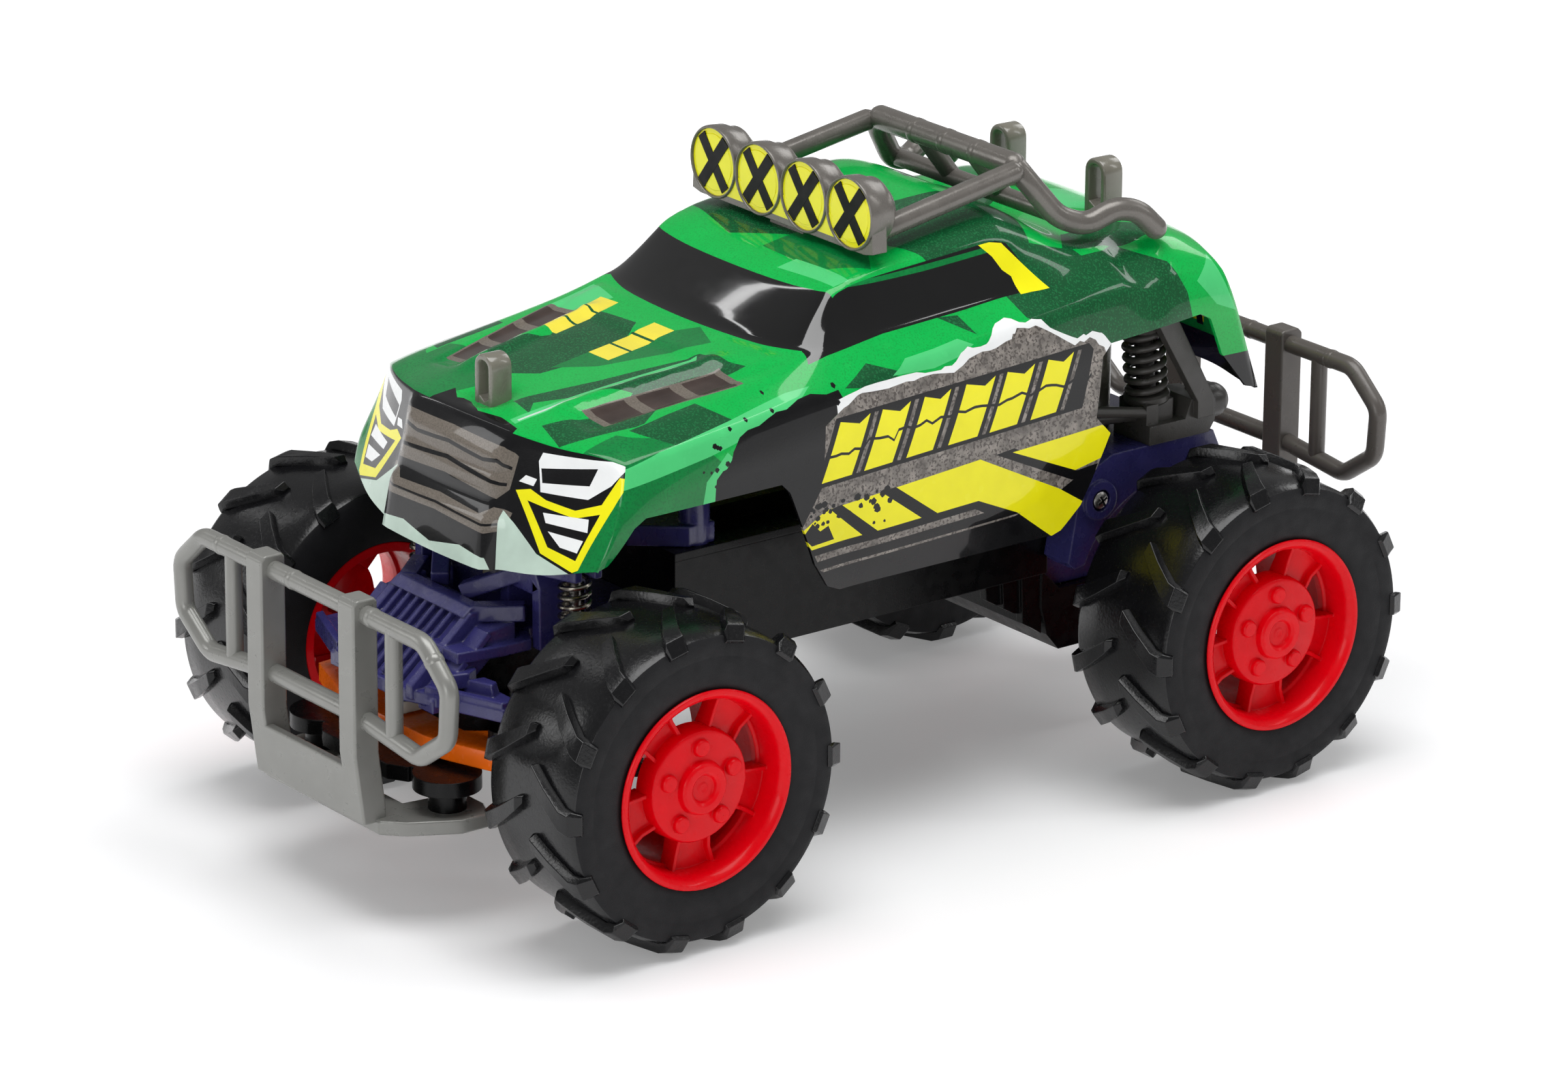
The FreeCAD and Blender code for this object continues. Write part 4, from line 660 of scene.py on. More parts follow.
def flank_graphics():
    """Prints of one flank, in painting order, as (print, outline in y and z); the mint band along the front
    shoulder is a painted highlight.
    """
    torn = [(-27, 119.5), (-18, 121.4), (-6, 122), (6, 121.2), (11, 122.5), (15, 125.4), (21, 125),
            (24, 128), (29, 129.6), (34, 128), (39, 128), (43, 124.6), (50, 121.2), (55, 122.2),
            (58, 121.2), (61.5, 117.5)]
    stone = [(-25, 117.4), (-19, 120), (-5, 120.3), (1, 120.6), (10, 119.8), (15, 122.4), (22, 123.2),
             (29, 124.8), (31, 127.2), (37, 126.8), (44, 122.8), (49, 119.6), (54, 120.8), (58.5, 117.5)]
    torn, stone = jagged(torn, 0.5), jagged(stone, 0.6)
    prints = [
        ("mid", [(-103, 84), (-103, 120), (-70, 118), (-62, 110), (-66, 100), (-90, 84)]),
        ("dark", [(-82, 119.5), (-62, 122.6), (-54, 118), (-70, 115.4)]),
        # Pale band along the front shoulder crease: a painted highlight.
        ("mint", [(-96, 112.4), (-80, 116.4), (-58, 119.8), (-40, 123), (-33, 123.6), (-44, 118),
            (-66, 113), (-94, 108.6)]),
        ("mint", [(-70, 100), (-68, 107), (-61, 113), (-58, 110), (-64, 101)]),
        ("dark", [(-24, 122), (-15, 126), (-6, 123), (-12, 120)]),
        ("mint", [(-9, 122.4), (-4, 125.6), (5, 126.4), (13, 127.4), (17, 125.6), (12, 123.4), (4, 122)]),
        ("dark", [(11, 131.8), (17, 131.5), (19, 127.5)]),
        ("dark", [(32, 137), (35, 129), (40, 126), (60, 116), (90, 112), (88, 126), (84, 134), (60, 143),
            (40, 150), (26, 150)]),
        ("bright", [(60, 138.5), (72, 138.5), (66, 141.5), (56, 143)]),
        ("mint", [(92, 128), (99, 133), (105, 118), (98, 121)]),
        ("black", jagged([(-66, 101), (-65, 107), (-60, 111), (-57, 116), (-48, 119), (-38, 121.6),
            (-26, 122)], 0.7) + [(-24, 118), (-31, 114), (-33, 90), (-38, 84), (-48, 101)]),
        ("white", torn + [(56, 99), (-33, 99), (-27, 115)]),
        ("stone", stone + [(64, 100), (62, 92), (50, 74), (-44, 82), (-33, 99), (-31, 114)]),
        ("black", [(-43, 64), (-43, 86), (-35, 83.4), (-18, 84.4), (16, 85.8), (29, 80), (43.5, 70.5),
            (46, 64)]),
        ("black", [(22, 96.4), (28, 97), (49, 86.8), (56, 87.4), (54.6, 84), (47.5, 84.6)]),
        ("black", [(43, 82), (53, 87), (58, 84), (50, 75)]),
        ("yellow", [(27.5, 96), (57, 97.4), (62, 95), (57, 88.6), (48.5, 87)]),
        ("yellow", [(-40, 88), (-32, 92.6), (17, 96.2), (43.5, 83), (53, 77), (44, 69), (29.5, 79.6),
            (16.5, 85.4), (-18, 84), (-36, 83)]),
        ("black", [(-30.5, 92.6), (-27, 93.2), (-15.5, 84), (-20, 83.6)]),
        ("black", [(-14.6, 94), (-10, 94.4), (3.4, 84.8), (-1.4, 84.4)]),
        ("black", [(-39, 87), (-36, 90), (-33.5, 87.5), (-31, 88.5), (-29, 84.5), (-36, 84)]),
        ("stone", [(-35, 81.2), (15.5, 83.4), (18.5, 81.8), (-34, 79.4)]),
        ("stone", [(-33, 77.0), (31, 79.2), (29, 78.6), (-31.8, 76.2)]),
        ("glass", [(-30, 127.4), (-28.6, 129.6), (-16.2, 142.6), (-12, 144.2), (33, 146.6), (37, 145.4),
            (44.5, 134), (20, 132.2), (-6, 130.8), (-24, 128.6)]),
        ("mid", [(-13, 142.2), (-11, 143.2), (30, 145.4), (32.4, 144.2), (10, 142.9)]),
        ("yellow", [(27.0, 147.4), (35.6, 145.6), (46.0, 133.6), (37.6, 133.2), (36.6, 137.4),
            (34.2, 139.3), (31.8, 143)]),
        ("black", [(97, 107), (117, 106), (121, 92), (97, 92)]),
        ("black", [(-35.4, 98.6), (-27.6, 115.2), (53.6, 119.4), (55, 117.6), (50.4, 103.2), (20, 101.6)]),
    ]
    return prints + hazard_row() + paint_spots()


BLOCKS, BLOCK_PITCH, BLOCK_LEAN = 6, 13.3, 6.8
ROW_START, ROW_SLOPE = -32, 0.052


def hazard_row():
    """Six slanted yellow blocks with notched tops, slashes between them and one crack through all."""
    prints = []
    for index in range(BLOCKS):
        start = ROW_START - 1.2 + BLOCK_PITCH * index
        rise = (start - ROW_START) * ROW_SLOPE
        low, high = 99.9 + rise, 114.2 + rise
        end = start + 9.4 - 0.5 * (index % 3)
        prints.append(("yellow", [(start, low), (end, low + 0.5), (end + BLOCK_LEAN, high + 0.5),
                                  (end + 3.2, high - 1.4), (start + BLOCK_LEAN, high)]))
        prints.append(("stone", slanted(end + 1.4, end + 2.6, low + 0.6, high + 0.6, BLOCK_LEAN)))
    crack = [(-31.5, 106.0)]
    while crack[-1][0] < 52:
        y = crack[-1][0] + random.uniform(1.6, 3.2)
        crack.append((y, 106.6 + (y - ROW_START) * ROW_SLOPE + random.uniform(-1.3, 1.3)))
    half = 0.35
    for (y0, z0), (y1, z1) in zip(crack, crack[1:]):
        prints.append(("black", [(y0, z0 - half), (y1, z1 - half), (y1, z1 + half), (y0, z0 + half)]))
    return prints


def paint_spots():
    """Dark spatter over the lower stripe and over the torn edge behind the front arch."""
    prints = []
    for _ in range(46):
        y = random.uniform(-40, -12)
        z = 94.6 - abs(random.gauss(0, 3.4))
        size = random.uniform(0.35, 1.1)
        corners = []
        for a in (0.2, 1.3, 2.4, 3.4, 4.5, 5.5):
            out, up = random.uniform(0.7, 1.2), random.uniform(0.7, 1.2)
            corners.append((y + size * out * math.cos(a), z + size * up * math.sin(a)))
        prints.append(("black", corners))
    for _ in range(26):
        y, size = random.uniform(-70, -26), random.uniform(0.3, 0.8)
        z = 112 + (y + 60) * 0.25 + random.gauss(0, 3.0)
        corners = [(y + size * math.cos(a), z + size * math.sin(a)) for a in (0, 1.1, 2.2, 3.3, 4.6)]
        prints.append(("black", corners))
    return prints


# Prints seen from above, then those of the nose's left half, as (print, outline); a few of them are painted
# highlights.
TOP_GRAPHICS = [
    ("mid", [(-46, -104), (-14, -106), (-8, -92), (-24, -74), (-47, -80)]),
    ("dark", [(-12, -86), (-2, -78), (2, -58), (-8, -44), (-30, -46), (-20, -62), (-28, -76)]),
    ("dark", [(6, -92), (14, -72), (21, -46), (35, -42), (30, -60), (41, -78), (34, -98)]),
    ("bright", [(22, -100), (30, -78), (26, -70), (12, -90)]),
    ("mid", [(-3, -74), (6, -66), (18, -40), (8, -36), (-4, -52)]),
    ("mint", [(-45, -50), (-30, -48), (-26, -38), (-40, -34)]),
    ("black", [(-15, -107), (22, -106), (20, -100.5), (12, -99.6), (4, -101), (-3, -98), (-7, -99.5),
        (-12, -96.5)]),
    ("dark", [(-36, -6), (-12, -12), (6, -4), (-6, 14), (-30, 10)]),
    ("mid", [(2, -12), (26, -13), (36, -4), (20, 6), (6, 2)]),
    ("mint", [(14, -16.5), (35, -15), (36, -11), (16, -12)]),
    ("dark", [(8, 18), (30, 6), (42, 14), (42, 44), (26, 48), (12, 36)]),
    ("dark", [(-24, 44), (-4, 38), (8, 52), (-6, 70), (-30, 64)]),
    ("dark", [(30, 62), (46, 50), (47, 92), (34, 90), (26, 78)]),
    ("mid", [(-42, 66), (-26, 72), (-18, 96), (-34, 104), (-46, 92)]),
    ("mint", [(-8, 78), (12, 80), (16, 98), (-2, 102)]),
    # Painted highlight along the left bonnet ridge: a mint strip with a paler strip inside it.
    ("mint", [(14.8, -99), (17.6, -99.5), (25.0, -50), (21.4, -47)]),
    ("painted_highlight", [(16.4, -98), (17.2, -98), (24.2, -53), (23.2, -51)]),
    ("gold", slanted(-27, -19.4, -60.5, -39.2, -2.8)),
    ("gold", slanted(-3.6, 4.8, -62, -41.2, -0.6)),
]
# Outline of the left bonnet vent, and the middles of the lines across the two warm yellow bars.
VENT = ((24.6, -84.6), (34, -84), (41, -47), (30, -46.6))
BONNET_LINES = ((-24.4, -53.6), (-25.4, -46.4), (0.2, -55), (0, -48))
NOSE_HALF_GRAPHICS = [
    ("mid", [(60, 113), (51.4, 111.4), (48.6, 101), (46.6, 89), (45, 88), (34, 91), (24, 84), (24, 78),
        (60, 78)]),
    ("yellow", [(24.6, 104.4), (28.6, 105.4), (33.4, 103.6), (41.6, 102.6), (47.6, 105), (50, 111.8),
        (52.4, 111.6), (50, 102), (47, 89.4), (45.6, 88.6), (35.4, 91.2)]),
    ("black", [(28.4, 102.6), (33.2, 101.9), (42, 100.8), (48, 102.8), (45.6, 91.4), (37, 93)]),
    ("white", [(33.4, 100.6), (45.6, 101.2), (46.4, 98.2), (34.8, 98.4)]),
    ("white", [(36, 96.6), (46, 96.2), (45.4, 93.2), (40.4, 93.6)]),
    ("white", [(29.4, 112.4), (30.2, 114.6), (49.8, 115.4), (50.8, 113.6), (48.6, 109.6), (44, 105.6),
        (31.4, 105.2)]),
    ("black", [(30.4, 110.8), (44.8, 113.2), (43.6, 108.8), (31.4, 107.4)]),
    ("white", [(25, 106.6), (26.6, 108.4), (29.8, 108), (29.2, 106.2)]),
    ("taupe", [(0, 115.0), (20.5, 114.2), (23.8, 112.4), (23.0, 104.2), (20.8, 101.6), (0, 103.2)]),
    ("black", [(0, 111.5), (14, 110.4), (19, 111.2), (22.6, 109.6), (22.6, 108.8), (19, 110.2), (14, 109.4),
        (0, 110.5)]),
    ("black", [(0, 107.5), (15, 106.2), (22.2, 105.6), (22.2, 104.8), (15, 105.2), (0, 106.5)]),
    ("taupe", [(0, 98.2), (17, 97.4), (20.6, 99.6), (25.0, 98.8), (24.0, 94.4), (20, 93.2), (0, 94.2)]),
    ("black", [(0, 96.3), (19, 95.4), (24, 96.4), (24, 95.8), (19, 94.8), (0, 95.7)]),
    ("taupe", [(24, 89.6), (33, 88.4), (30, 85.2), (24, 85.4)]),
    # Painted highlight on the glossy chin below the grille, in two pale patches.
    ("painted_highlight", [(22.4, 99), (26, 96.6), (34.4, 90.8), (45.2, 88), (48.5, 87), (46.8, 83), (24, 82)]),
    ("painted_highlight", [(0, 86.2), (12, 88.4), (21.4, 87.4), (24, 82), (0, 82)]),
]


def tail_graphics():
    """Yellow band with dark slashes across the tail, black below it."""
    prints = [("black", [(-60, 107), (60, 107), (60, 90), (-60, 90)]),
              ("yellow", [(-38, 124), (38, 124), (33, 110), (-33, 110)])]
    for k in range(-5, 6):
        prints.append(("black", slanted(6.4 * k - 2.2, 6.4 * k + 0.4, 109, 125, 3.0)))
    return prints


def shell_piece(name, work):
    """Smooth object on the chassis, made from a mesh whose faces hold the numbers of their prints."""
    for f in work.faces:
        f.smooth = True
    mesh = bpy.data.meshes.new(name)
    work.to_mesh(mesh)
    work.free()
    for print_name in PRINT_ORDER:
        mesh.materials.append(PRINTS[print_name])
    piece = add_object(name, mesh)
    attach(piece, "chassis")
    return piece


def build_lining(printed, normal_at):
    """Inner face and cut edge of the sheet, which show the same print as the outer face."""
    sheet = printed.copy()
    rim = [e for e in sheet.edges if len(e.link_faces) == 1]
    outer_faces = sheet.faces[:]
    inner_of = {}
    for v in sheet.verts[:]:
        inner_of[v] = sheet.verts.new(v.co - normal_at(v.co) * SHEET * MM)
    for f in outer_faces:
        sheet.faces.new([inner_of[v] for v in reversed(f.verts)]).material_index = f.material_index
    for e in rim:
        a, b = e.verts
        sheet.faces.new([a, b, inner_of[b], inner_of[a]]).material_index = e.link_faces[0].material_index
    bmesh.ops.delete(sheet, geom=outer_faces, context="FACES")
    lining = shell_piece("shell_lining", sheet)
    lining.data.set_sharp_from_angle(angle=math.radians(40))


def build_shell():
    """Printed sheet: the smooth form cut along the outline of every print, then its lining."""
    base = shell_base()
    tree_mesh = bmesh.new()
    tree_mesh.from_mesh(base)
    tree_mesh.normal_update()
    tree = BVHTree.FromBMesh(tree_mesh)
    tree_mesh.faces.ensure_lookup_table()

    def normal_at(place):
        """Outward direction of the smooth form at its point nearest to a place."""
        found, _, index, _ = tree.find_nearest(place)
        corners = tree_mesh.faces[index].verts
        weights = poly_3d_calc([c.co for c in corners], found)
        total = Vector((0, 0, 0))
        for corner, weight in zip(corners, weights):
            total += corner.normal * weight
        return total.normalized()

    work = bmesh.new()
    work.from_mesh(base)
    zone_layer = work.faces.layers.int.new("zone")
    for f in work.faces:
        f[zone_layer] = f.material_index
        f.material_index = PRINT_ORDER.index("bright")
    below = LOWER_EDGE + [(140, 96), (140, 30), (-140, 30), (-140, 90.2)]
    for sign in (1, -1):
        bmesh.ops.delete(work, geom=imprint(work, zone_layer, "side", below, sign), context="FACES")

    def paint(zone, print_name, outline, sign=0):
        for f in imprint(work, zone_layer, zone, outline, sign):
            f.material_index = PRINT_ORDER.index(print_name)

    for f in work.faces:
        if f[zone_layer] == ZONES.index("windscreen"):
            f.material_index = PRINT_ORDER.index("glass")
        if f[zone_layer] == ZONES.index("front"):
            f.material_index = PRINT_ORDER.index("black")
    for print_name, outline in TOP_GRAPHICS:
        paint("top", print_name, outline)
    panes = 3
    for side in (1, -1):
        vent = [(side * a, b) for a, b in VENT]
        paint("top", "taupe", vent)
        for k in range(panes):
            t0, t1 = 0.04 + 0.33 * k, 0.31 + 0.33 * k
            corner = [(a[0] + (b[0] - a[0]) * t, a[1] + (b[1] - a[1]) * t)
                      for a, b in ((vent[0], vent[3]), (vent[1], vent[2])) for t in (t0, t1)]
            inset = [corner[0], corner[1], corner[3], corner[2]]
            middle = Vector((sum(p[0] for p in inset) / 4, sum(p[1] for p in inset) / 4))
            paint("top", "vent", [tuple(middle + (Vector(p) - middle) * 0.9) for p in inset])
    for x, y in BONNET_LINES:
        paint("top", "dark", slanted(x - 4.6, x + 4.6, y - 0.4, y + 0.4, 0))
    state = random.getstate()
    for sign in (1, -1):
        random.setstate(state)
        for print_name, outline in flank_graphics():
            paint("side", print_name, outline, sign)
        for print_name, outline in NOSE_HALF_GRAPHICS:
            paint("front", print_name, [(sign * a, b) for a, b in outline], sign)
    for print_name, outline in tail_graphics():
        paint("rear", print_name, outline)

    build_lining(work, normal_at)
    shell = shell_piece("shell_print", work)
    normals = [normal_at(v.co) for v in shell.data.vertices]
    shell.data.normals_split_custom_set_from_vertices(normals)
    tree_mesh.free()
    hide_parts("body_shell")


# ---------------------------------------------------------------- wheels
def wheel_matrix(side, y):
    """Local x points out of the truck, local y forward and local z up."""
    flip = Matrix(((side, 0, 0), (0, 1, 0), (0, 0, 1)))
    return Matrix.Translation((side * WHEEL_X, y, AXLE_Z)) @ flip.to_4x4()


def on_tyre(radius, x, angle):
    """Point of a wheel: angle 0 is the front, growing upwards."""
    return Vector((x, -radius * math.cos(angle), radius * math.sin(angle)))


TYRE_R, TYRE_STEPS, LUGS, SPOKES = 42.5, 168, 14, 5
# Tyre section as (x, radius): inner wall, tread, outer wall with its ring, then the inside.
TYRE_SECTION = [
    (-17.0, 24.0), (-17.9, 26.0), (-17.9, 37.2), (-17.3, 38.7), (-15.6, 39.6), (-8, 40.0), (0, 40.1),
    (8, 40.0), (15.6, 39.6), (17.3, 38.7), (17.9, 37.2), (17.9, 34.0), (17.85, 33.8), (17.85, 33.5),
    (17.9, 33.3), (17.9, 27.0), (17.3, 25.6), (16.6, 24.0), (16.0, 25.4), (-16.0, 25.4),
]
TREAD_COLUMNS = range(3, 9)  # sides of the section that belong to the tread
# Centre line of a lug as (x, radius, shift round the tyre), from the shoulder inwards.
LUG_PATH = ((17.95, 37.6, -0.4), (17.2, 39.6, -0.1), (15.0, 40.5, 0.8), (8.4, 40.6, 5.0), (2.4, 40.7, 9.4))
LUG_TOP = 1.8
LUG_WIDTHS = (6.4, 7.0, 6.4, 5.6, 4.6)


def lug(piece, side, angle):
    """One tread lug: a bevelled bar bent over the shoulder, running inwards to near the middle."""
    rings = []
    for (x, radius, shift), width in zip(LUG_PATH, LUG_WIDTHS):
        outward, height = (0.8, 0.2) if x > 17.5 else (0.0, LUG_TOP)
        ring = []
        for along, up in ((-0.5, -0.8), (-0.48, 0.05), (-0.38, 1.0), (0.38, 1.0), (0.48, 0.05), (0.5, -0.8)):
            r = min(radius + (up * height if up > 0 else up), TYRE_R - 0.04)
            a = angle + (shift + along * width) / TYRE_R
            ring.append(on_tyre(r, side * (x + (outward if up > 0 else 0.0)), a))
        rings.append(ring)
    x, radius, shift = LUG_PATH[-1]
    tip = []
    for along, up in ((-0.5, -0.8), (-0.5, -0.4), (-0.33, 0.1), (0.33, 0.1), (0.5, -0.4), (0.5, -0.8)):
        a = angle + (shift + 0.9 + along * 2.4) / TYRE_R
        tip.append(on_tyre(radius + up, side * (x - 1.0), a))
    piece.rings(rings + [tip], 1)


def build_tyre(name, body, side, y, node):
    """Tyre with a glossier tread band and two staggered rows of lugs."""
    piece = Piece(name)
    angles = [math.tau * k / TYRE_STEPS for k in range(TYRE_STEPS)]
    piece.rings([[on_tyre(r, x, a) for x, r in TYRE_SECTION] for a in angles], loop=True)
    piece.finish = [int(k % len(TYRE_SECTION) in TREAD_COLUMNS) for k in range(len(piece.faces))]
    for k in range(LUGS):
        lug(piece, 1, math.tau * k / LUGS)
        lug(piece, -1, math.tau * (k + 0.5) / LUGS)
    piece.turned(wheel_matrix(side, y))
    piece.done(body, "tyre_rubber", node, TREAD, bevel=0.32, segments=2, sharp=30)


def build_hub(name, body, side, y, node):
    """Deep hub: lip and barrel, raised disc with five knobs, ringed centre and five ribbed spokes."""
    piece = Piece(name)
    barrel = [(23.9, -16.8), (24.1, 17.2), (25.3, 17.6), (25.5, 18.1), (25.1, 18.6), (24.2, 18.6),
              (23.2, 17.9), (22.4, 16.2), (21.9, 8.5), (21.6, -2.0), (21.4, -16.8)]
    piece.lathe(barrel, (0, 0, 0), X_AXIS, 96)
    disc = [(0.01, 6.5), (0.01, 16.3), (0.7, 16.3), (0.9, 16.6), (1.3, 16.6), (1.5, 16.3), (3.2, 16.3),
            (3.6, 17.2), (4.3, 17.7), (6.0, 17.7), (6.6, 17.1), (6.9, 15.4), (7.6, 15.2), (13.0, 15.2),
            (14.0, 14.9), (14.5, 14.0), (14.7, 9.0), (12.0, 7.6), (8.0, 6.8)]
    piece.lathe(disc, (0, 0, 0), X_AXIS, 80)
    collar = [(21.2, 7.4), (21.2, 9.6), (22.4, 10.2), (22.4, 7.0)]
    piece.lathe(collar, (0, 0, 0), X_AXIS, 80)
    spin = math.radians(54 if side > 0 else 126)
    for k in range(SPOKES):
        a = spin + math.tau * k / SPOKES
        out = Vector((0, math.cos(a), math.sin(a)))
        across = Vector((0, -math.sin(a), math.cos(a)))
        deep = Vector(X_AXIS)
        rings = []
        for r, half, top in ((13.0, 4.8, 13.2), (17.5, 5.4, 12.4), (22.6, 6.8, 12.8)):
            edge = half - 1.0
            section = ((-half, 7.4), (-half, top), (-edge, top), (-edge + 0.2, top - 1.5),
                       (edge - 0.2, top - 1.5), (edge, top), (half, top), (half, 7.4))
            rings.append([out * r + across * w + deep * h for w, h in section])
        piece.rings(rings)
        b = a + math.pi / SPOKES
        centre = Vector((0, math.cos(b), math.sin(b))) * 10.2
        knob = [(0.01, 14.6), (2.3, 14.6), (2.2, 16.3), (1.8, 16.8), (0.01, 16.8)]
        piece.lathe(knob, centre, X_AXIS, 24)
    piece.turned(wheel_matrix(side, y))
    piece.done(body, "hub_red", node, bevel=0.3, segments=2, sharp=30)


def build_wheels():
    """Four wheels: the front ones turn on their own, the rear ones with the axle."""
    for end, y in (("front", FRONT_Y), ("rear", REAR_Y)):
        for label, side in (("left", 1), ("right", -1)):
            body = f"front_{label}_wheel" if end == "front" else "rear_axle"
            build_tyre(f"tyre_look_{end}_{label}", body, side, y, f"tyre_{end}_{label}")
            build_hub(f"hub_look_{end}_{label}", body, side, y, f"hub_{end}_{label}")


# ---------------------------------------------------------------- bars and posts
def bumper(name, face_y, bar_z, turn, slot, node):
    """Bar bumper: octagonal wings of round bar, two flat uprights and a bottom plate."""
    piece = Piece(name)
    y = 4.2
    wing = [(18, y, 27), (48, y, 27), (58.5, y, 18), (57.6, y, 5), (46, y, -3), (20, y, 0)]
    piece.tube(wing, 4.8, bend=2.6)
    piece.tube([(35, y, 27), (35, y, -1.6)], 4.4)
    rail = [(0.2, 29.6), (1.6, 31), (6.6, 31), (7.5, 30), (7.5, -9), (9.4, -24), (9.4, -27.4), (2.7, -27.4),
            (0.2, -9)]
    piece.prism(rail, 0, 16.6, 23.6)
    piece.mirrored()
    for z in (27, 0):
        piece.tube([(-21, y, z), (21, y, z)], 4.8)
    piece.prism([(0.7, -13), (3.4, -13), (9.4, -27.4), (2.7, -27.4)], 0, -20, 20)
    for x in (-40.0, -8.0, 26.0):
        piece.tube([(x, y, 27), (x + 0.5, y, 27)], 5.15)
    piece.tube([(52.0, y, 23.6), (52.3, y, 23.4)], 5.15)
    if turn:
        piece.turned(Matrix.Rotation(math.pi, 4, "Z"))
    piece.turned(Matrix.Translation((0, face_y, bar_z)))
    if turn:
        piece.prism(both_sides([(23.4, 148), (23.4, 140), (16, 119)]), 2, 40, 43.5)
    else:
        half = [(18, -134), (20, -118), (30, -118), (36.5, -121), (36.5, -129), (30, -141), (25, -146)]
        piece.prism(both_sides(half), 2, 23.8, 27.6)
    piece.done("chassis", slot, node, bevel=0.9)


def build_bumpers():
    """Pale front bumper and dark rear bumper."""
    bumper("front_bumper_bars", -152, 54, False, "bumper_light_grey", "front_bumper")
    bumper("rear_bumper_bars", 152, 67, True, "bumper_dark_grey", "rear_bumper")


def build_post(name, node, x, y, seat, foot, width, depth, height):
    """Strap bent over into a loop, on a round shank with a collar under the shell."""
    piece = Piece(name)
    top = seat + height
    thick = 0.9
    half = width / 2 - thick
    bend = [math.pi * k / 14 for k in range(15)]
    loop = [(x - half, y, seat - 6)]
    loop += [(x - half * math.cos(a), y, top - 1.0 - half + half * math.sin(a) ** 0.8) for a in bend]
    loop += [(x + half, y, seat - 6)]
    strap = [(-depth / 2, -0.6), (-depth / 2 + 0.6, -thick), (depth / 2 - 0.6, -thick), (depth / 2, -0.6),
             (depth / 2, 0.6), (depth / 2 - 0.6, thick), (-depth / 2 + 0.6, thick), (-depth / 2, 0.6)]
    piece.sweep(loop, strap, up=(-1, 0, 0))
    piece.prism([(x - half, seat - 7), (x + half, seat - 7), (x + half - 0.4, seat + 3.4), (x, seat + 1.9),
                 (x - half + 0.4, seat + 3.4)], 1, y - depth / 2 + 0.3, y + depth / 2 - 0.3)
    shank = [(0.01, foot), (3.0, foot), (3.0, seat - 3.6), (4.6, seat - 3.3), (5.0, seat - 3.0),
             (5.0, seat - 2.1), (4.6, seat - 1.9), (0.01, seat - 1.9)]
    piece.lathe(shank, (x, y, 0), (0, 0, 1), 32)
    piece.done("chassis", "post_grey", node, bevel=0.35)


def build_posts():
    """One post through the bonnet and two through the bed."""
    build_post("post_look_front", "body_post_front", 0, FRONT_POST_Y, 117.0, 65.0, 7.6, 6.4, 14.2)
    for label, side in (("left", 1), ("right", -1)):
        name, node = f"post_look_rear_{label}", f"body_post_rear_{label}"
        build_post(name, node, side * REAR_POST_X, REAR_POST_Y, 140.4, 79.5, 8.2, 6.4, 15.0)


def build_rack():
    """Side rails with their bent legs, struts, hoop and cross bar."""
    piece = Piece("rack_bars")
    piece.tube([(30.5, 1, 152.4), (30, 46, 160.2)], 5.6)
    piece.tube([(20, 48.5, 161), (27.5, 48.6, 161), (30.3, 50.2, 157.6), (34, 57.6, 147.4), (37, 64.6, 144.8),
                (39, 72.5, 148.4), (41, 78.5, 147.2), (42.2, 83.4, 142)], 6.0, bend=3.4)
    piece.tube([(10.5, 49, 160.2), (10.5, 59, 147.8)], 4.8)
    piece.mirrored()
    piece.tube([(-27, 48.5, 161.1), (27, 48.5, 161.1)], 6.5)
    piece.tube([(-33.6, 58.4, 147.6), (33.6, 58.4, 147.6)], 4.8)
    for x in (-12, 0.5, 13):
        piece.tube([(x, 48.5, 161.1), (x + 0.6, 48.5, 161.1)], 6.8)
    piece.done("chassis", "rack_grey", "roof_rack")


LAMP_FACE, LAMP_Z = -5.4, 157.9
LAMP_XS = [18.8 * (k - 1.5) for k in range(4)]


def build_lamp_bar():
    """Four round shrouds on one plate, with a tongue and two sleeves behind it."""
    piece = Piece("lamp_bar")
    face = LAMP_FACE
    shroud = [(8.7, face + 1.4), (8.8, face + 0.3), (9.1, face), (9.5, face + 0.3), (9.6, face + 1.2),
              (9.3, face + 4.6), (8.2, face + 7.0), (8.2, face + 8.4), (6.6, face + 9.6),
              (5.4, face + 11.0), (2.0, face + 11.3), (0.01, face + 11.3), (0.01, face + 1.4)]
    for x in LAMP_XS:
        piece.lathe(shroud, (x, 0, LAMP_Z), Y_AXIS, 48)
    outline = [(-37.4, 149.2), (-34, 148.4), (34, 148.4), (37.4, 149.2), (37.0, 157), (28.2, 155),
               (18.8, 151.6), (9.4, 155), (0, 151.6), (-9.4, 155), (-18.8, 151.6), (-28.2, 155),
               (-37.0, 157)]
    piece.prism(outline, 1, face + 0.8, face + 5.4)
    piece.prism([(-7, 146.6), (7, 146.6), (6, 150), (-6, 150)], 1, face + 2.4, face + 4.4)
    for x in (-30.4, 30.4):
        piece.tube([(x, face + 5, 152.2), (x, 2.5, 152.4)], 6.4)
    piece.done("chassis", "rack_grey", "light_bar", bevel=0.35, segments=2)


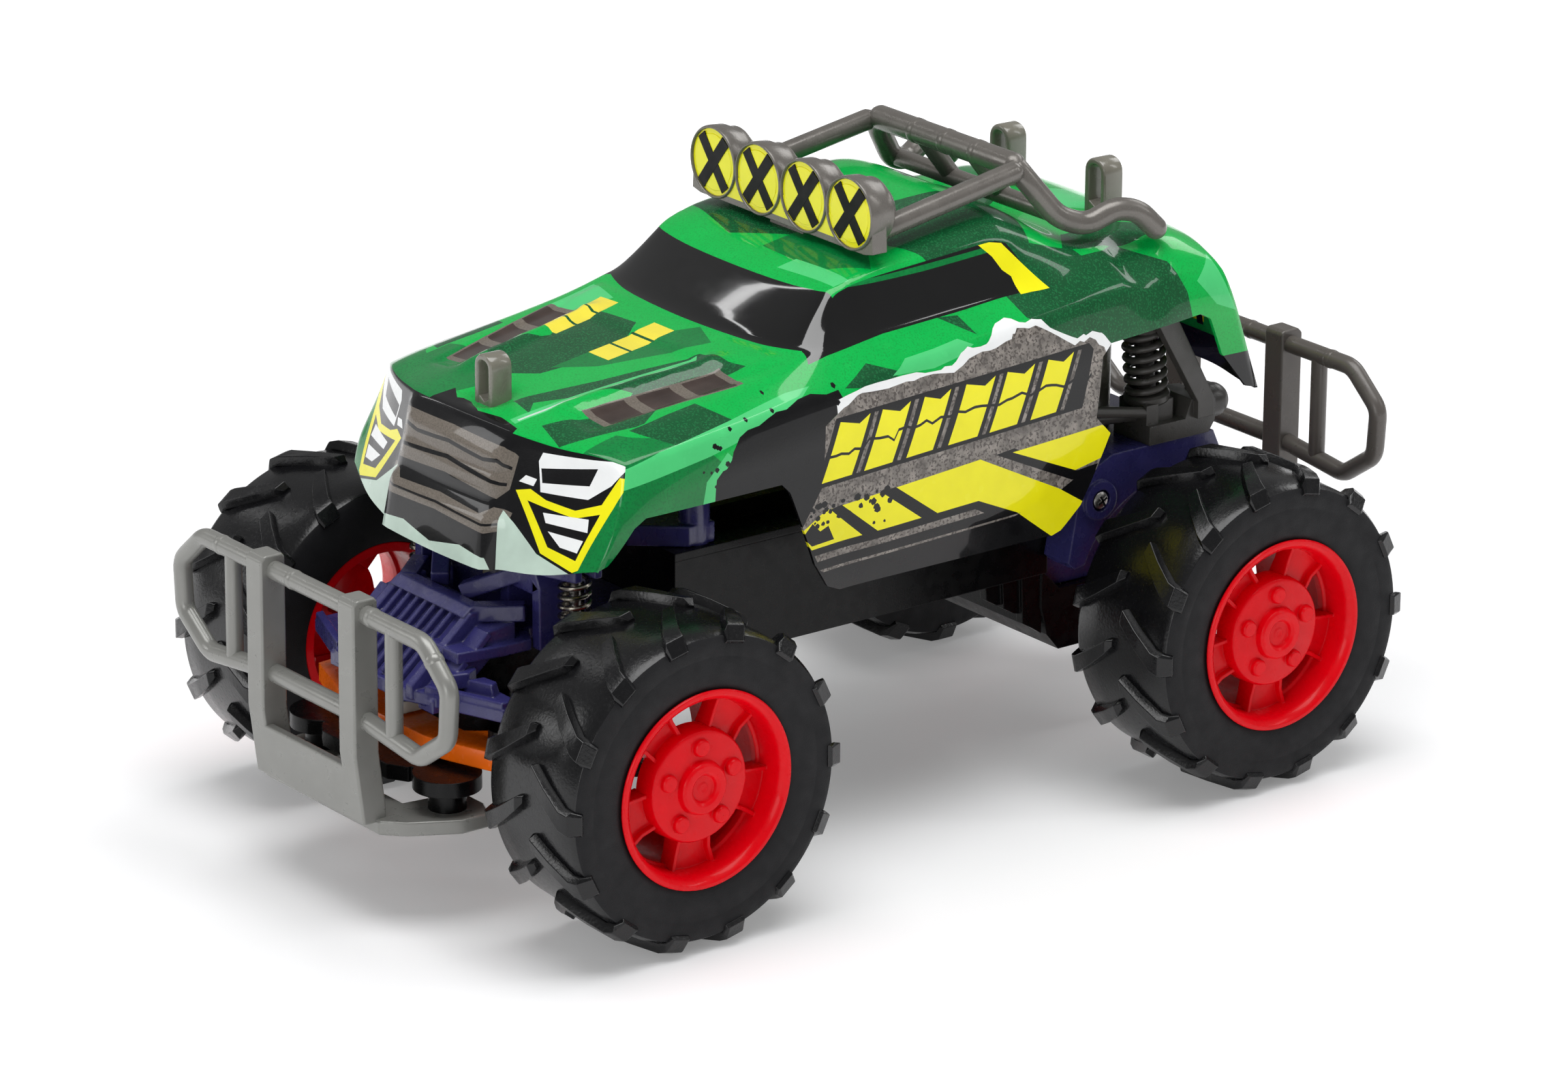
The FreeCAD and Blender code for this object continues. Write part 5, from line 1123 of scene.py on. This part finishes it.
def build_lamp_faces():
    """Yellow discs with a dark cross each, joined by a thin plate."""
    piece = Piece("lamp_faces")
    face = LAMP_FACE
    disc = [(0.01, face + 1.45), (8.72, face + 1.45), (8.72, face + 0.8), (7.5, face + 0.75),
            (7.3, face + 0.6), (0.01, face + 0.5)]
    for x in LAMP_XS:
        piece.lathe(disc, (x, 0, LAMP_Z), Y_AXIS, 48)
        for lean in (1, -1):
            tilt = lean * math.radians(52)
            arm = Vector((math.cos(tilt), 0, math.sin(tilt)))
            path = [Vector((x, face + 0.44, LAMP_Z)) + arm * t for t in (-8.2, 0, 8.2)]
            top = 0.04 + 0.02 * lean
            piece.sweep(path, [(-1.6, -0.25), (1.6, -0.25), (1.6, top), (-1.6, top)], 1, up=(0, -1, 0))
    bridge = [(-27, 150.2), (27, 150.2), (27, 153), (18.8, 156.4), (9.4, 153), (0, 156.4), (-9.4, 153),
              (-18.8, 156.4), (-27, 153)]
    piece.prism(bridge, 1, face + 0.68, face + 1.2)
    piece.done("chassis", "lens_yellow", "lamp_lenses", CROSS)


# ---------------------------------------------------------------- front casting
def build_front_casting():
    """Navy casting: ribbed shield between raised rails, chevron wings, towers, truss bars and arms."""
    piece = Piece("front_casting")
    base = [(23, -121), (25, -108), (25, -100), (18, -96), (18, -60)]
    piece.prism(both_sides(base), 2, 62, 65)
    shield = [(-104, 71), (-112, 70), (-129, 55.5), (-129, 52), (-124, 52), (-109, 65), (-104, 65)]
    piece.prism(shield, 0, -15.5, 15.5)
    for k in range(7):
        x = -12.2 + 3.6 * k
        piece.prism([(-112.4, 69.4), (-128.8, 55.6), (-129.9, 56.8), (-113.4, 71.0)], 0, x, x + 1.3)
    piece.prism([(-108, 70.6), (-113, 69.6), (-114.4, 71.0), (-111.5, 73.0), (-108, 73.0)], 0, -16, 16)
    half = Piece("half")
    half.prism([(-104, 72.4), (-112.4, 71.8), (-130.4, 56.6), (-130.4, 53), (-127, 53), (-110, 67),
                (-104, 68)], 0, 14.2, 16.8)
    half.prism([(y + 1.0, z - 1.6) for y, z in shield], 0, 16, 22.4)
    for y, z in ((-110.5, 69.8), (-117.5, 63.8)):
        half.prism([(y, z - 2.4), (y - 4.4, z - 6.2), (y - 5.4, z - 4.8), (y - 1.4, z - 0.9)], 0, 17.6, 23.4)
    half.prism([(20.4, -125.5), (24.2, -124.0), (25.6, -119.4), (23.6, -115.6), (20, -115.6)], 2, 56.4, 60.4)
    half.prism([(0, -131), (13, -131), (20, -128), (41, -120), (41, -113), (27, -113), (20, -118.4),
                (0, -118.4)], 2, 52, 55.5)
    half.prism([(19, -128.2), (40.6, -120), (40.6, -117.6), (20, -125.4)], 2, 55, 57.2)
    half.prism([(24, -120.6), (33, -117), (31, -113.6), (25, -114.4)], 2, 55, 58.6, taper=0.25)
    half.prism([(10, 62), (13.5, 62), (13.5, 76), (10, 74)], 1, -99, -85)
    half.prism([(23.5, 62), (27, 62), (27, 78), (23.5, 80)], 1, -99, -85)
    half.prism([(10, 74), (13.5, 75.8), (23.5, 75.8), (27, 78), (23, 86), (14, 86)], 1, -99, -85)
    half.prism([(10, 62), (27, 62), (27, 78), (10, 76)], 1, -88, -85)
    half.prism([(14, -101), (30, -99), (38, -96), (38, -93.9), (30.2, -93.9), (30.2, -90.1), (38, -90.1),
                (38, -88), (28, -84), (14, -60), (10, -60), (10, -100)], 2, ARM_LOW, ARM_TOP)
    half.prism([(10, -66), (18, -66), (28, -54), (28, -46), (20, -46), (10, -56)], 2, 80, ARM_TOP)
    half.tube([(24.5, -50, 80), (24.5, -50, 91)], 8)
    bar = [(-2.3, -2.1), (2.3, -2.1), (2.3, 2.1), (-2.3, 2.1)]
    half.sweep([(18.5, -96, 80.6), (5, -106.5, 73.2)], bar, up=(0, 0, 1))
    half.sweep([(22.5, -100, 71.5), (14, -110, 71.0)], bar, up=(0, 0, 1))
    half.mirrored()
    piece.add(half.verts, half.faces)
    piece.prism(both_sides([(12, -88), (12, -58)]), 2, ARM_LOW, ARM_TOP)
    piece.lathe([(3.05, 62), (5.6, 62), (5.6, 71), (3.05, 71)], (0, FRONT_POST_Y, 0), Z_AXIS, 32)
    piece.done("chassis", "frame_navy", "front_frame", bevel=0.45, segments=2)


def build_frame_screws():
    """Pan heads with a cross recess in the rear arch frames."""
    piece = Piece("frame_screw_heads")
    head = [(0.01, 40.6), (2.4, 40.6), (2.55, 41.2), (2.3, 42.0), (1.5, 42.6), (0.01, 42.8)]
    piece.lathe(head, SCREW, X_AXIS, 32)
    piece.lathe([(0.01, 39.3), (1.15, 39.3), (1.15, 40.9), (0.01, 40.9)], SCREW, X_AXIS, 16)
    slot_section = [(-0.28, -0.1), (0.28, -0.1), (0.28, 0.14), (-0.28, 0.14)]
    for angle in (0.5, 0.5 + math.pi / 2):
        arm = Vector((0, math.cos(angle), math.sin(angle))) * 1.5
        centre = Vector((42.7, *SCREW[1:]))
        piece.sweep([centre - arm, centre + arm], slot_section, 1, up=X_AXIS)
    piece.mirrored()
    piece.done("chassis", "steel", "frame_screws", CROSS)


# ---------------------------------------------------------------- springs and rear trim
def helix(centre, axis, radius, length, turns, steps=22):
    """Centre line of a coil that climbs from its centre along its axis."""
    axis = Vector(axis).normalized()
    side = axis.orthogonal().normalized()
    other = axis.cross(side)
    count = int(turns * steps)
    path = []
    for k in range(count + 1):
        a = math.tau * turns * k / count
        out = side * math.cos(a) + other * math.sin(a)
        path.append(Vector(centre) + axis * length * k / count + out * radius)
    return path


def build_springs():
    """Steel coils of the front corners, each on a mesh of its own, and the moulded rear coils."""
    for label, side in (("left", 1), ("right", -1)):
        piece = Piece(f"coil_{label}")
        piece.sweep(helix((side * 32, FRONT_Y, 67.4), (0, 0, 1), 3.7, 14.1, 5.5), circle(0.65, 10))
        spring = piece.done("chassis", "spring_steel", f"spring_front_{label}")
        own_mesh(spring)

        piece = Piece(f"rear_coil_{label}")
        low, high = Vector((side * 34, 89, 93.6)), Vector((side * 34, 86.8, 114.0))
        along = (high - low).normalized()
        piece.tube([low, high - along * 0.5], 5.0)
        piece.sweep(helix(low + along * 0.8, along, 4.9, 19.0, 6.4), circle(0.95, 12))
        collar = [(0.01, -1.6), (5.6, -1.6), (6.1, -1.0), (6.1, 0.4), (5.4, 1.0), (0.01, 1.0)]
        piece.lathe(collar, low + along * 0.6, along, 28)
        cap = [(0.01, 0), (5.2, 0), (5.6, 0.6), (5.6, 2.0), (4.8, 2.6), (0.01, 2.6)]
        piece.lathe(cap, high - along * 1.6, along, 28)
        piece.done("chassis", "trim_dark_grey", f"rear_shock_{label}")


# ---------------------------------------------------------------- stage
FLOOR_HALF = 12.0  # metres


def build_floor():
    """Pale sheet that glows more the farther it lies from the truck."""
    mesh = bpy.data.meshes.new("floor")
    corners = [(a * FLOOR_HALF, b * FLOOR_HALF, 0) for a, b in ((-1, -1), (1, -1), (1, 1), (-1, 1))]
    mesh.from_pydata(corners, [], [(0, 1, 2, 3)])
    floor = add_object("floor", mesh)
    white = bpy.data.materials.new("paper")
    white.use_nodes = True
    shader = white.node_tree.nodes["Principled BSDF"]
    shader.inputs["Base Color"].default_value = (0.84, 0.84, 0.85, 1)
    shader.inputs["Roughness"].default_value = 0.45
    shader.inputs["Emission Color"].default_value = (1, 1, 1, 1)
    nodes, links = white.node_tree.nodes, white.node_tree.links
    where = nodes.new("ShaderNodeTexCoord")
    reach = nodes.new("ShaderNodeVectorMath")
    glow = nodes.new("ShaderNodeMapRange")
    reach.operation = "LENGTH"
    for socket, value in (("From Min", 0.15), ("From Max", 0.9), ("To Min", 0.2), ("To Max", 0.75)):
        glow.inputs[socket].default_value = value
    links.new(where.outputs["Object"], reach.inputs[0])
    links.new(reach.outputs["Value"], glow.inputs["Value"])
    links.new(glow.outputs["Result"], shader.inputs["Emission Strength"])
    mesh.materials.append(white)
    floor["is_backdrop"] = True


def build_lights():
    """Dim white surroundings and six soft panels, placed in metres."""
    world = bpy.data.worlds.new("studio")
    bpy.context.scene.world = world
    world.use_nodes = True
    background = world.node_tree.nodes["Background"]
    background.inputs["Color"].default_value = (1, 1, 1, 1)
    background.inputs["Strength"].default_value = 0.26
    lamps = (  # name, place, aim, size, power
        ("overhead", (0.15, -0.1, 1.5), (0, 0, 0.06), (1.3, 0.9), 19.0),
        ("left_strip", (1.0, 1.3, 1.15), (0, 0, 0.1), (0.2, 0.9), 3.0),
        ("right_strip", (-1.5, -0.42, 1.3), (0, 0, 0.1), (0.05, 0.8), 0.8),
        ("front_panel", (0.9, -1.7, 0.55), (0, 0, 0.06), (0.8, 0.7), 6.5),
        ("back_panel", (-0.35, 1.6, 1.2), (0, 0, 0.08), (0.9, 0.6), 6.0),
        ("right_panel", (-1.3, -1.5, 0.8), (0, 0, 0.08), (0.6, 0.7), 4.5),
    )
    for name, place, aim, (wide, tall), power in lamps:
        data = bpy.data.lights.new(name, "AREA")
        data.shape, data.size, data.size_y, data.energy = "RECTANGLE", wide, tall, power
        lamp = add_object(name, data)
        lamp.location = place
        lamp.rotation_euler = (Vector(aim) - Vector(place)).to_track_quat("-Z", "Y").to_euler()


def build_camera():
    """Long lens in front and to the left of the truck, rolled by half a degree."""
    data = bpy.data.cameras.new("camera")
    data.lens, data.sensor_width = 161.5, 36.0
    data.clip_start, data.clip_end = 0.05, 60.0
    camera = add_object("camera", data)
    azimuth, elevation, roll = (math.radians(a) for a in (52.426, 19.329, 0.461))
    right = Vector((math.cos(azimuth), math.sin(azimuth), 0))
    level = math.cos(elevation)
    back = Vector((math.sin(azimuth) * level, -math.cos(azimuth) * level, math.sin(elevation)))
    up = back.cross(right)
    tilted = right * math.cos(roll) + up * math.sin(roll)
    upright = up * math.cos(roll) - right * math.sin(roll)
    turn = Matrix((tilted, upright, back)).transposed().to_4x4()
    camera.matrix_world = Matrix.Translation((1.3484, -1.0403, 0.6592)) @ turn
    bpy.context.scene.camera = camera
    bpy.context.scene.view_settings.view_transform = "Standard"


build_floor()
build_lights()
build_camera()
build_shell()
build_wheels()
build_bumpers()
build_posts()
build_rack()
build_lamp_bar()
build_lamp_faces()
build_front_casting()
build_frame_screws()
build_springs()

[[list(corner) for corner in box] for box in (cad_box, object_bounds())]
